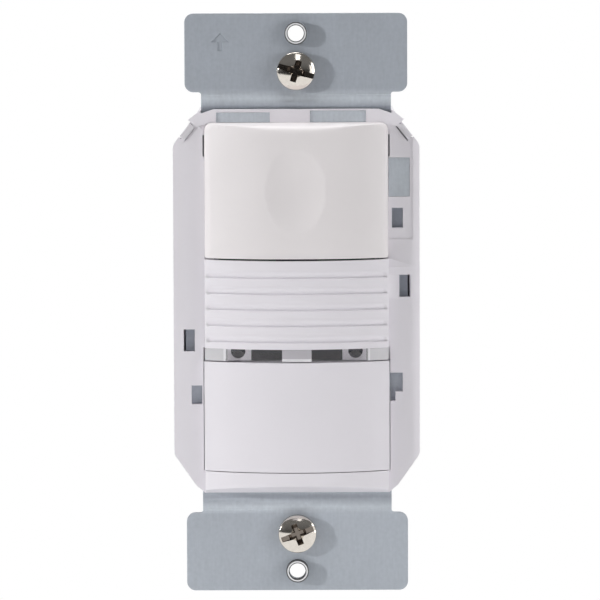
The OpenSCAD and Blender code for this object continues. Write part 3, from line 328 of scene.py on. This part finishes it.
coat("solder_mask", (0.035, 0.16, 0.07), (0.06, 0.25, 0.11), 0.35, 0, "power_board", "control_board")
coat("screw_zinc", (0.62, 0.63, 0.65), (0.74, 0.75, 0.77), 0.3, 1, "power_board_screws", "control_board_screws")
coat("blue_case", (0.06, 0.16, 0.45), (0.09, 0.22, 0.58), 0.4, 0, "relay")
coat("yellow_film_case", (0.72, 0.55, 0.09), (0.84, 0.66, 0.15), 0.35, 0, "film_capacitor")
coat("dark_sleeve", (0.03, 0.035, 0.12), (0.05, 0.06, 0.2), 0.3, 0, "electrolytic_capacitor")
coat("dipped_coat", (0.04, 0.24, 0.36), (0.06, 0.33, 0.5), 0.3, 0, "varistor")
coat("lacquer", (0.6, 0.48, 0.34), (0.74, 0.62, 0.46), 0.5, 0, "fusible_resistor")

# Control board.
# The board behind the strap's window carries the heat sensor, the push switch, the lamp and the settings.
# Pins join it to the power board. The dials and sliders are moulded, and are set through the clear strip.
black = ("board_link_socket", "push_switch_body", "setting_block_left", "setting_block_right", "processor")
coat("black_moulding", (0.03, 0.03, 0.032), (0.06, 0.06, 0.064), 0.5, 0, *black)
coat("dark_blue_moulding", (0.016, 0.018, 0.034), (0.034, 0.037, 0.062), 0.4, 0, "time_trimmer", "range_trimmer")
coat("grey_moulding", (0.2, 0.2, 0.21), (0.3, 0.3, 0.31), 0.5, 0, "push_switch_plunger", "time_dial", "range_dial")
sliders = [f"slider_{side}_{i}" for side in ("left", "right") for i in range(1, 5)]
coat("ivory_moulding", (0.78, 0.75, 0.67), (0.85, 0.83, 0.76), 0.45, 0, "sensor_spacer", *sliders)
coat("gold_flash", (0.7, 0.5, 0.2), (0.82, 0.64, 0.3), 0.28, 1, "board_link_pins", "sensor_base")
coat("can_steel", (0.66, 0.66, 0.64), (0.78, 0.78, 0.76), 0.25, 1, "sensor_can")
coat("filter_coat", (0.08, 0.08, 0.1), (0.12, 0.12, 0.15), 0.15, 0, "sensor_filter")
coat("lamp_tint", (0.28, 0.66, 0.34), (0.4, 0.8, 0.45), 0.12, 0, "indicator_lamp")
coat("cell_coat", (0.72, 0.4, 0.14), (0.85, 0.56, 0.24), 0.3, 0, "light_cell")


# Mounting strap.
# Galvanised sheet steel, punched and bent, with an ear at each end that rests on the wall box.
# Its edges are sheared, and the collars of the wall plate holes are drawn up out of the sheet.
def axes_of(start):
    """The x, y and z of a place on the piece, in metres."""
    at = place_of(start)
    return [start.add("ShaderNodeSeparateXYZ", {}, {0: at}, axis) for axis in "XYZ"]


def length_of(start, **parts):
    together = start.add("ShaderNodeCombineXYZ", {}, parts)
    return start.add("ShaderNodeVectorMath", {"operation": "LENGTH"}, {0: together}, "Value")


def larger(a, b):
    return a.sum("MAXIMUM", a, b)


mm = 0.001
plate_hole_z = 48.4
galvanised, shader, start = new_finish("galvanised_steel", Metallic=0.85, Anisotropic=0.45)
rolled = start.add("ShaderNodeMapping", {}, {"Vector": place_of(start), "Scale": (1.0, 1.0, 0.12)})
streaks = mottle(start, 2400, 3.0, rolled)
patches = mottle(start, 240, 4.0)
specks = mottle(start, 1500, 4.0)
tone = 0.4 * patches + 0.25 * streaks + 0.35 * specks
at_x, at_y, at_z = axes_of(start)
# Painted light: the bends, the pads and what lies behind the flange's outer openings are painted lighter, standing
# in for light falling on them, and the lower half is faintly painted lighter for light from below
bent = larger(1 - 550 * abs(abs(at_z) - 36.8 * mm), 0)
amid = (at_z > -10 * mm) * (at_z < 18 * mm)
covered = (abs(at_z) < 33.5 * mm) * (1 - amid)
pad_and_opening_light = larger(covered, (abs(at_z) < 35.2 * mm) * (at_y < -2.7 * mm))
painted_light_share = larger(larger(bent, pad_and_opening_light), 0.3 * (at_z < 0))
sheet = between(start, tone, (0.395, 0.424, 0.468), (0.634, 0.672, 0.725))
painted_lit_sheet = between(start, tone, (0.52, 0.555, 0.6), (0.82, 0.86, 0.9))
# The collars' walls are painted dark as painted shade, and their lip carries a painted highlight
from_hole = length_of(start, X=at_x, Z=abs(at_z) - plate_hole_z * mm)
collar = (from_hole < 2.12 * mm) * (at_y < -1.28 * mm)
lip_highlight = (from_hole > 1.6 * mm) * (from_hole < 1.84 * mm) * (at_y < -2.2 * mm)
collar_shade_and_highlight = between(start, lip_highlight, (0.16, 0.165, 0.17), (0.9, 0.9, 0.91))
feed(shader, "Base Color", between(start, collar, between(start, painted_light_share, sheet, painted_lit_sheet), collar_shade_and_highlight))
feed(shader, "Roughness", 0.66 + 0.2 * patches)
relief(shader, start, 0.4 * streaks + 0.6 * mottle(start, 3000, 3.0), 0.00004, 0.4)


def slice_by(bm, faces, planes):
    """Cuts faces by planes, each a point and a normal, so that they can be shaped."""
    faces = set(faces)
    for point, normal in planes:
        around = list({e for f in faces for e in f.edges}) + list({v for f in faces for v in f.verts})
        done = bmesh.ops.bisect_plane(bm, geom=list(faces) + around, dist=1e-5, plane_co=point, plane_no=normal)
        faces |= {g for g in done["geom"] if isinstance(g, bmesh.types.BMFace)}
        faces = {f for f in faces if f.is_valid}
    return list(faces)


def slice_at(bm, faces, **cuts):
    """Cuts faces by planes square to x or z."""
    normal = {"x": Vector((1, 0, 0)), "z": Vector((0, 0, 1))}
    return slice_by(bm, faces, [
        (normal[axis] * place, normal[axis]) for axis, places in cuts.items() for place in places])


def block(size, place=(0, 0, 0)):
    """A plain block with its middle at a place."""
    bm = bmesh.new()
    bmesh.ops.create_cube(bm, size=1)
    bmesh.ops.scale(bm, vec=size, verts=bm.verts)
    bmesh.ops.translate(bm, vec=place, verts=bm.verts)
    return bm


def combine(bm, tool, how="DIFFERENCE"):
    """Cuts a second mesh, which is used up, out of the first one, or joins it to the first one."""
    pair = []
    for shape in (bm, tool):
        bmesh.ops.recalc_face_normals(shape, faces=shape.faces)
        pair.append(bpy.data.objects.new("combined", bpy.data.meshes.new("combined")))
        shape.to_mesh(pair[-1].data)
        shape.clear()
        scene.collection.objects.link(pair[-1])
    step = pair[0].modifiers.new("combine", "BOOLEAN")
    step.object = pair[1]
    step.operation = how
    step.use_self = True
    bm.from_object(pair[0], bpy.context.evaluated_depsgraph_get())
    for shape in pair:
        bpy.data.objects.remove(shape)
    tool.free()
    bmesh.ops.remove_doubles(bm, verts=bm.verts, dist=0.0005)
    join_flat(bm)


def part_way(value, start, length):
    """How far a value lies below a start, as a share of a length from 0 to 1."""
    return min(max((start - value) / length, 0), 1)


neck_half = 17
strap_step = 0.8
cad_bend_z = 37.4
cad_bend_len = 1.8
shoulder_z = 38.2
bend_len = 3.2
dip_z = 34.45
dip_len = 0.8
dip_upper = 0.5
dip_lower = 0.2
wide_edge_x = 20.22
pad_t = 1.5
pad_mid_h = 2.65
# The blank is laid flat, its corners are rounded, and it is bent again in an easy curve with a shallow dip
bm = copy_of("mounting_strap")
for v in bm.verts:
    v.co.y += strap_step * part_way(abs(v.co.z), cad_bend_z, cad_bend_len)
join_flat(bm)
round_over(bm, 1.3, lambda x, h, z, along: abs(along.y) > 0.9 and (
    abs(abs(x) - neck_half) < 0.2 and 37 < abs(z) < shoulder_z), 6)
round_over(bm, 0.12, lambda x, h, z, along: True, 2)
bend_cuts = [s * (33.4 + 0.15 * i) for i in range(34) for s in (-1, 1)]
slice_at(bm, bm.faces[:], z=bend_cuts + [18.3, 18.5])
for v in bm.verts:
    if v.co.x > 19.9 and 18.4 < v.co.z < 26.3:
        v.co.x = wide_edge_x
for v in bm.verts:
    rise = part_way(abs(v.co.z), shoulder_z, bend_len)
    v.co.y -= strap_step * rise * rise * (3 - 2 * rise)
    v.co.y += (dip_upper if v.co.z > 0 else dip_lower) * math.exp(-((abs(v.co.z) - dip_z) / dip_len) ** 2)
# Three embossed pads come up into the cover's larger openings
for pad_x, pad_z, pad_w, pad_len in ((-9.5, 33.45, 9.56, 1.76), (7.5, 33.6, 9.96, 2.06), (18.42, 22.7, 3.74, 6.96)):
    pad = block((pad_w, pad_t, pad_len), (pad_x, -pad_mid_h, pad_z))
    round_over(pad, 0.04, lambda x, h, z, along: True, 1)
    combine(bm, pad, "UNION")
finish_piece(bm, "strap", galvanised, "base", "galvanised_steel", "mounting_strap")

# Mounting screws.
# Nickel plated steel, with pan heads that take a flat or a cross driver.
# Fibre washers keep them in the strap's slots.
coat("red_fibre", (0.38, 0.12, 0.07), (0.5, 0.19, 0.12), 0.75, 0, "screw_retainers")
screw_z = 41.65
head_h = 3.65
head_foot_h = 1.25
head_r = 3.43
head_edge_r = 0.37
head_edge_h = 2.42
dome_r = 5.9
core_r = 1.36
tip_h = -17.7
thread_r = 1.72
thread_start = 17.2
thread_pitch = 0.794
thread_turns = 20
steps_a_turn = 24
nickel, shader, start = new_finish("nickel_plate", Metallic=1.0)
at_x, at_y, at_z = axes_of(start)
from_middle = abs(at_z) - screw_z * mm
from_centre = length_of(start, X=at_x, Y=at_y - 2.25 * mm, Z=from_middle)
from_axis = length_of(start, X=at_x, Z=from_middle)
# The slot and cross of the recess are painted dark brown as painted shade
recess_shade = (from_centre < 5.1 * mm + 0.22 * from_axis) * (at_y < -1.7 * mm)
plate = between(start, mottle(start, 900, 3.0), (0.66, 0.61, 0.55), (0.8, 0.76, 0.7))
feed(shader, "Base Color", between(start, 0.8 * recess_shade, plate, (0.12, 0.09, 0.07)))
feed(shader, "Roughness", 0.07 + 0.1 * mottle(start, 1600, 3.0) + 0.1 * recess_shade)


def turned(bm, outline):
    """Turns an outline of radii and heights about the y axis."""
    line = [bm.verts.new((r, -h, 0)) for r, h in outline]
    edges = [bm.edges.new(pair) for pair in zip(line, line[1:])]
    bmesh.ops.spin(
        bm, geom=line + edges, cent=(0, 0, 0), axis=(0, 1, 0), angle=2 * math.pi, steps=64, use_merge=True)
    bmesh.ops.remove_doubles(bm, verts=bm.verts, dist=0.001)


def turn_about(bm, verts, degrees, axis):
    bmesh.ops.rotate(bm, verts=verts, cent=(0, 0, 0), matrix=Matrix.Rotation(math.radians(degrees), 3, axis))


for name, z, turn in (("upper", screw_z, -17), ("lower", -screw_z, 20)):
    bm = bmesh.new()
    dome = [(dome_r * math.sin(a), head_h - dome_r * (1 - math.cos(a))) for a in (i * 0.0435 for i in range(13))]
    edge = [
        (head_r - head_edge_r * (1 - math.sin(a)), head_edge_h + head_edge_r * math.cos(a))
        for a in (0.65, 0.9, 1.2, 1.57)]
    foot = [(head_r, head_foot_h + 0.15), (head_r - 0.1, head_foot_h), (core_r, head_foot_h)]
    turned(bm, dome + edge + foot + [(core_r, tip_h + 0.7), (0.9, tip_h), (0, tip_h)])
    # The recess is a slot and a cross, whose bars narrow towards their feet, and a tapered core
    driver = bmesh.new()
    for length, foot_length, width, foot_width, depth, across in (
            (8.0, 8.0, 1.1, 0.9, 1.0, 0), (4.6, 2.2, 1.25, 0.6, 1.9, 0), (4.6, 2.2, 1.25, 0.6, 1.9, 90)):
        bar = bmesh.ops.create_cube(driver, size=1)["verts"]
        for v in bar:
            low = v.co.y > 0
            v.co = (v.co.x * (foot_length if low else length), depth - head_h if low else -head_h - 0.25,
                    v.co.z * (foot_width if low else width))
        turn_about(driver, bar, across, "Y")
    core = bmesh.ops.create_cone(driver, segments=8, radius1=0.35, radius2=1.6, depth=1.25, cap_ends=True)["verts"]
    turn_about(driver, core, 90, "X")
    turn_about(driver, core, 22.5, "Y")
    bmesh.ops.translate(driver, verts=core, vec=(0, 0.375 - head_h, 0))
    combine(bm, driver)
    round_over(bm, 0.1, lambda x, h, z, along: math.hypot(x, z) < head_r + 0.07 and h > 1.6, 2, 0.5)
    # The thread is one rib that winds up from the tip to just behind the washer
    thread = bmesh.new()
    rib = [thread.verts.new((r, thread_start - step, 0)) for r, step in (
        (core_r - 0.08, 0.03), (core_r, 0.06), (thread_r, 0.33),
        (thread_r, 0.45), (core_r, 0.72), (core_r - 0.08, 0.75))]
    ring = [thread.edges.new(pair) for pair in zip(rib, rib[1:] + rib[:1])]
    bmesh.ops.spin(
        thread, geom=rib + ring, cent=(0, 0, 0), axis=(0, 1, 0), dvec=(0, -thread_pitch / steps_a_turn, 0),
        angle=2 * math.pi * thread_turns, steps=thread_turns * steps_a_turn)
    bmesh.ops.holes_fill(thread, edges=thread.edges)
    combine(bm, thread, "UNION")
    turn_about(bm, bm.verts, -turn, "Y")
    bmesh.ops.translate(bm, verts=bm.verts, vec=(0, 0, z))
    finish_piece(bm, name + "_pan_head_screw", nickel, name + "_screw", "nickel_steel", name + "_mounting_screw")

# Front cover.
# White moulding that covers the strap: a thin flange with openings, a band of rounded ribs, and a bezel.
# It snaps under the two latches of the housing.
white_plastic = satin("satin_white_plastic", (0.81, 0.785, 0.828), (0.85, 0.824, 0.868))
face_r = 31.14
face_axis = 21.44
opening_half = 16.45
flange_half = 22.05
band_foot = -7.75
band_head = 8.1
band_half = 15.95
groove_pitch = 2.87
grooves = [5.0 - groove_pitch * i for i in range(5)]
groove_depth = 0.48
groove_above = 1.1
groove_below = 0.3
groove_fade = 0.25
faint_above = 1.3
faint_half = 0.2
faint_depth = 0.03
slit_in = 0.76
slit_len = 3.35
panel_h = 3.47
notch_half = 1.75
slope_out = 0.5
slope_more = 0.6
slope_foot_z = 28.6
slope_head_x = 17.3
slope_head_z = 34.6
tab_slit_x = 16.74
tab_z = 28.4
bezel_drop = 0.3
gap_half = 15.5
gap_more = 0.08


def rib_drop(z):
    """How far the ribbed band lies under the curved face at a height, with a faint second line above each groove."""
    off = min((z - g for g in grooves), key=abs)
    side = 1 - min(off / groove_above if off > 0 else -off / groove_below, 1)
    faint = max(1 - abs(off - faint_above) / faint_half, 0)
    return groove_depth * side ** 1.8 + faint_depth * faint


bm = copy_of("front_cover")
# A narrow slit lies inside each latch, and the right one is wider and goes through
for s, slit_w, slit_t, slit_mid_h in ((-1, 0.14, 2, 4.3), (1, 0.2, 3, 2.8)):
    slit = block((slit_w, slit_t, slit_len))
    turn_about(slit, slit.verts, -s * math.degrees(math.atan2(slope_z, slope_x)), "Y")
    bmesh.ops.translate(slit, verts=slit.verts, vec=(
        s * (latch_x - slit_in * slope_x), -slit_mid_h, latch_z - slit_in * slope_z))
    combine(bm, slit)
# The panel beside the lens is hardly sunk
for v in bm.verts:
    if abs(v.co.y + 3.35) < 0.01 and v.co.z > -20:
        v.co.y = -panel_h
# The band of ribs is cut at the levels where its outline turns, and each groove fades out at its ends
band = []
for face in bm.faces:
    middle = face.calc_center_median()
    reach = math.hypot(middle.x, face_axis - middle.y)
    outward = Vector((middle.x, middle.y - face_axis, 0)).normalized()
    if band_foot - 0.01 < middle.z < band_head + 0.01 and reach > 30.2 and face.normal.dot(outward) > 0.4:
        band.append(face)
turns = [-0.4, -0.3, -0.2, -0.1, 0, 0.08, 0.16, 0.3, 0.45, 0.6, 0.8, 1.0, 1.1, 1.2, 1.3, 1.4, 1.5]
levels = sorted({round(g + d, 3) for g in grooves for d in turns})
band_ends = (-band_half, groove_fade - band_half, band_half - groove_fade, band_half)
band = slice_at(bm, band, z=[z for z in levels if band_foot + 0.05 < z < band_head - 0.05], x=band_ends)
for v in {v for f in band for v in f.verts}:
    if v.co.y < -4.0:
        share = part_way(abs(v.co.x), band_half, groove_fade)
        reach = math.hypot(v.co.x, face_axis - v.co.y)
        wanted = face_r - share * rib_drop(v.co.z)
        if abs(v.co.x) < opening_half - 0.05:
            v.co.x *= wanted / reach
        v.co.y = face_axis - math.sqrt(wanted ** 2 - v.co.x ** 2)
# Each upper slope stands out a little beside the notch for a latch
for s in (-1, 1):
    outward = Vector((s * slope_x, 0, slope_z))
    along = Vector((s * slope_z, 0, -slope_x))
    middle = Vector((s * latch_x, 0, latch_z))
    wall = [f for f in bm.faces if f.normal.dot(outward) > 0.999 and f.calc_center_median().z > 27]
    wall = slice_by(bm, wall, [(middle + end * along, along) for end in (-notch_half, notch_half)])
    beside = [f for f in wall if abs((f.calc_center_median() - middle).dot(along)) > notch_half]
    stood = bmesh.ops.extrude_discrete_faces(bm, faces=beside)["faces"]
    for v in {v for f in stood for v in f.verts}:
        v.co += outward * slope_out
        if abs(v.co.x) > flange_half:
            v.co.x, v.co.z = s * flange_half, slope_foot_z
        elif v.co.z > 34.2:
            v.co.x, v.co.z = s * slope_head_x, slope_head_z
        elif v.co.z > 31:
            v.co += outward * slope_more
# The slits beside the lens's tabs are narrow
for v in bm.verts:
    if 16.55 < abs(v.co.x) < 17.3 and abs(v.co.z - tab_z) < 2.5:
        v.co.x = math.copysign(tab_slit_x, v.co.x)
# The flange's outline is rounded at its corners, and so are the upper corners of the lens's opening
round_over(bm, 1.3, lambda x, h, z, along: abs(along.y) > 0.99 and (
    abs(abs(x) - opening_half) < 0.05 and 32 < z < 33), 6)
for corner_x, corner_z, size in (
        (flange_half, slope_foot_z, 0.7), (flange_half, -27.05, 0.55),
        (18.0, -32.8, 0.5), (slope_head_x, slope_head_z, 0.3)):
    round_over(bm, size, lambda x, h, z, along: abs(along.y) > 0.99 and h < 3.7 and (
        math.hypot(abs(x) - corner_x, z - corner_z) < 0.1), 5, 0.15)
# The bezel rolls over at its foot
for v in bm.verts:
    if v.co.z < -33.6 and abs(v.co.x) < 16.7:
        v.co.z -= bezel_drop
round_over(bm, 0.22, lambda x, h, z, along: z < -32 and h > 4.8 and abs(x) < 16.3, 5)
# The edges round the face and along the flange are eased, apart from the hinge lugs and the strap's openings
round_over(bm, 0.3, lambda x, h, z, along: abs(abs(x) - opening_half) < 0.03 and h > 4.6)
round_over(bm, 0.16, lambda x, h, z, along: 3.3 < h and (
    abs(z - band_foot) < 0.05 or abs(z - band_head) < 0.05
    or z < -29 and not (abs(x) < 14 and h < 5.2 and z > -30.5)))
round_over(bm, 0.2, lambda x, h, z, along: 3.3 < h < 3.7 and not (
    abs(x) < 16.6 and 31 < z < 34.5 or 16.4 < x < 20.4 and 19 < z < 26.4 or abs(x) < 14 and -30.5 < z < -26))
# The gap under the lens widens towards its middle
for v in bm.verts:
    if 7.85 < v.co.z < band_head + 0.02 and abs(v.co.x) < gap_half and v.co.y < -4:
        v.co.z -= gap_more * (1 - (v.co.x / gap_half) ** 2)
finish_piece(bm, "cover", white_plastic, "base", "white_plastic", "front_cover")

# Sensor lens.
# A milky shell that lets heat through, with a rounded top edge and a shallow oval dish in its face.
# Ring steps inside it bend the heat towards the sensor.
milky, shader, start = new_finish("milky_lens_plastic", Specular_IOR_Level=0.4)
cloud = mottle(start, 90, 3.0)
feed(shader, "Base Color", between(start, cloud, (0.826, 0.79, 0.797), (0.866, 0.83, 0.837)))
feed(shader, "Roughness", 0.44 + 0.1 * mottle(start, 1100))
relief(shader, start, mottle(start, 4200), 0.00002, 0.15)
lens_half = 16.42
lens_foot = 8.36
lens_head = 32.53
lens_seat_h = 2.8
lens_blank_t = 1.2
lens_least_h = 3.55
crown_h = 9.71
corner_r = 1.35
side_r = 1.0
foot_r = 0.25
roll_z = 30.49
roll_end_z = 32.08
roll_r = 1.6
wall_h = 3.6
wall_lean = math.radians(5.5)
merge_len = 1.1
fall_z = 25.5
fall_rate = 0.006
dish_x = -0.1
dish_z = 20.4
dish_half_w = 5.5
dish_half_len = 7.7
dish_depth = 1.2
tab_w = 0.55
tab_t = 1.05
tab_len = 3.3
tab_x = 16.225
tab_mid_h = 2.675


def lens_front(x, z):
    """Height of the lens's outside in front of the wall."""
    curved = math.sqrt(face_r ** 2 - x * x) - face_axis
    if z < roll_z:
        sloped = crown_h
    elif z < roll_end_z:
        sloped = crown_h - roll_r + math.sqrt(roll_r ** 2 - (z - roll_z) ** 2)
    else:
        sloped = wall_h + (lens_head - z) / math.tan(wall_lean)
    # The face and the top wall run into each other softly, and the face falls off a little towards the top
    soft = max(merge_len - abs(curved - sloped), 0) / merge_len
    front = min(curved, sloped) - 0.25 * merge_len * soft * soft
    front -= fall_rate * max(0.0, z - fall_z) ** 2
    over = max(0.0, lens_half - abs(x))
    if abs(x) > lens_half - corner_r and z > lens_head - corner_r:
        over = max(0.0, corner_r - math.hypot(abs(x) - lens_half + corner_r, z - lens_head + corner_r))
    if over < side_r:
        front -= side_r - math.sqrt(side_r ** 2 - (side_r - over) ** 2)
    low = max(0.0, z - lens_foot)
    if low < foot_r:
        front -= foot_r - math.sqrt(foot_r ** 2 - (foot_r - low) ** 2)
    oval = math.hypot((x - dish_x) / dish_half_w, (z - dish_z) / dish_half_len)
    if oval < 1:
        front -= dish_depth * (1 - oval * oval) ** 1.1
    return max(front, lens_least_h)


bm = block(
    (2 * lens_half, lens_blank_t, lens_head - lens_foot),
    (0, -lens_seat_h - lens_blank_t / 2, (lens_head + lens_foot) / 2))
round_over(bm, corner_r, lambda x, h, z, along: abs(along.y) > 0.9 and z > 20, 8)
round_over(bm, 0.4, lambda x, h, z, along: abs(along.y) > 0.9 and z < 20 and abs(x) > 16, 4)
# A tab at each side sits in the cover's slit and keeps the lens from sliding
for s in (-1, 1):
    combine(bm, block((tab_w, tab_t, tab_len), (s * tab_x, -tab_mid_h, tab_z)), "UNION")
# The front is cut into a grid, finer where it curves more, and brought to its shape
edge_steps = (0.02, 0.06, 0.13, 0.22, 0.34, 0.5, 0.7, 1.0)
across = [s * (lens_half - d) for d in edge_steps for s in (-1, 1)] + [0.45 * i for i in range(-34, 35)]
upright = [lens_foot + d for d in (0.02, 0.06, 0.12, 0.25)]
for first, pitch, count in ((8.9, 0.45, 42), (28.1, 0.3, 8), (roll_z, 0.1, 12), (31.66, 0.06, 14)):
    upright += [first + pitch * i for i in range(count)]
front = [f for f in bm.faces if f.normal.y < -0.9 and f.calc_center_median().y < -3.9]
front = slice_at(bm, front, x=across, z=upright)
for v in {v for f in front for v in f.verts}:
    v.co.y = -lens_front(v.co.x, v.co.z)
# The hollow with its ring steps is the CAD lens's own: what lies behind it when it is cut from the full shape
hollow = bm.copy()
combine(hollow, copy_of("sensor_lens"))
behind = Vector((0, -lens_seat_h, 20))
inside = {min(hollow.faces, key=lambda f: (f.calc_center_median() - behind).length)}
edge_on = list(inside)
while edge_on:
    near = {f for e in edge_on.pop().edges for f in e.link_faces} - inside
    inside |= near
    edge_on += near
bmesh.ops.delete(hollow, geom=[f for f in hollow.faces if f not in inside], context="FACES")
combine(bm, hollow)
finish_piece(bm, "lens", milky, "base", "lens_plastic", "sensor_lens", sharp=50)

# Clear strip.
# A clear moulding over the settings, with a leg at each end that stands on the cover.
# A frosted guide behind its middle brings the lamp's light to the face.
clear, shader, start = new_finish("clear_plastic", Roughness=0.06, Specular_IOR_Level=0.5)
at_x, _, at_z = axes_of(start)
aside = abs(at_x)
guide = aside < 2.62 * mm
# A painted highlight lightens the guide's foot along the strip's lower edge
guide_foot_highlight = guide * (at_z < -9.4 * mm)
leg = aside > 12.7 * mm
# A more opaque white line down the inner edge of each leg is a painted highlight
leg_edge_highlight = (aside > 12.4 * mm) * (aside < 13.1 * mm)
feed(shader, "Base Color", between(start, guide - guide_foot_highlight, (0.95, 0.94, 0.97), (0.62, 0.6, 0.64)))
feed(shader, "Alpha", 0.062 + 0.77 * guide + 0.62 * leg + 0.2 * leg_edge_highlight)
strip_half = 16.44
strip_head = -7.77
bm = copy_of("clear_strip")
# It fits close against the cover
for v in bm.verts:
    if abs(v.co.x) > 16.3:
        v.co.x = math.copysign(strip_half, v.co.x)
    if v.co.z > -7.86:
        v.co.z = strip_head
round_over(bm, 0.12, lambda x, h, z, along: h > 4)
finish_piece(bm, "strip", clear, "base", "clear_plastic", "clear_strip")

# Button.
# White moulding with skirts on three sides, curved like the rest of the face.
# It is hinged on two pins at its lower edge, and a post inside it works the push switch.
button_half = 16.58
button_foot = -29.76
button_head = -10.16
bm = copy_of("on_off_button")
# Its edges come out to narrow seams
for v in bm.verts:
    if abs(abs(v.co.x) - 16.35) < 0.01:
        v.co.x = math.copysign(button_half, v.co.x)
    if abs(v.co.z + 29.6) < 0.01:
        v.co.z = button_foot
    elif abs(v.co.z + 10.25) < 0.01:
        v.co.z = button_head
round_over(bm, 0.3, lambda x, h, z, along: h > 4.85 and (abs(x) > 16.5 or z > -10.2 or z < -29.7))
finish_piece(bm, "button_cap", white_plastic, "button", "white_plastic", "on_off_button")

# The view layer is updated once more at the end.
bpy.context.view_layer.update()
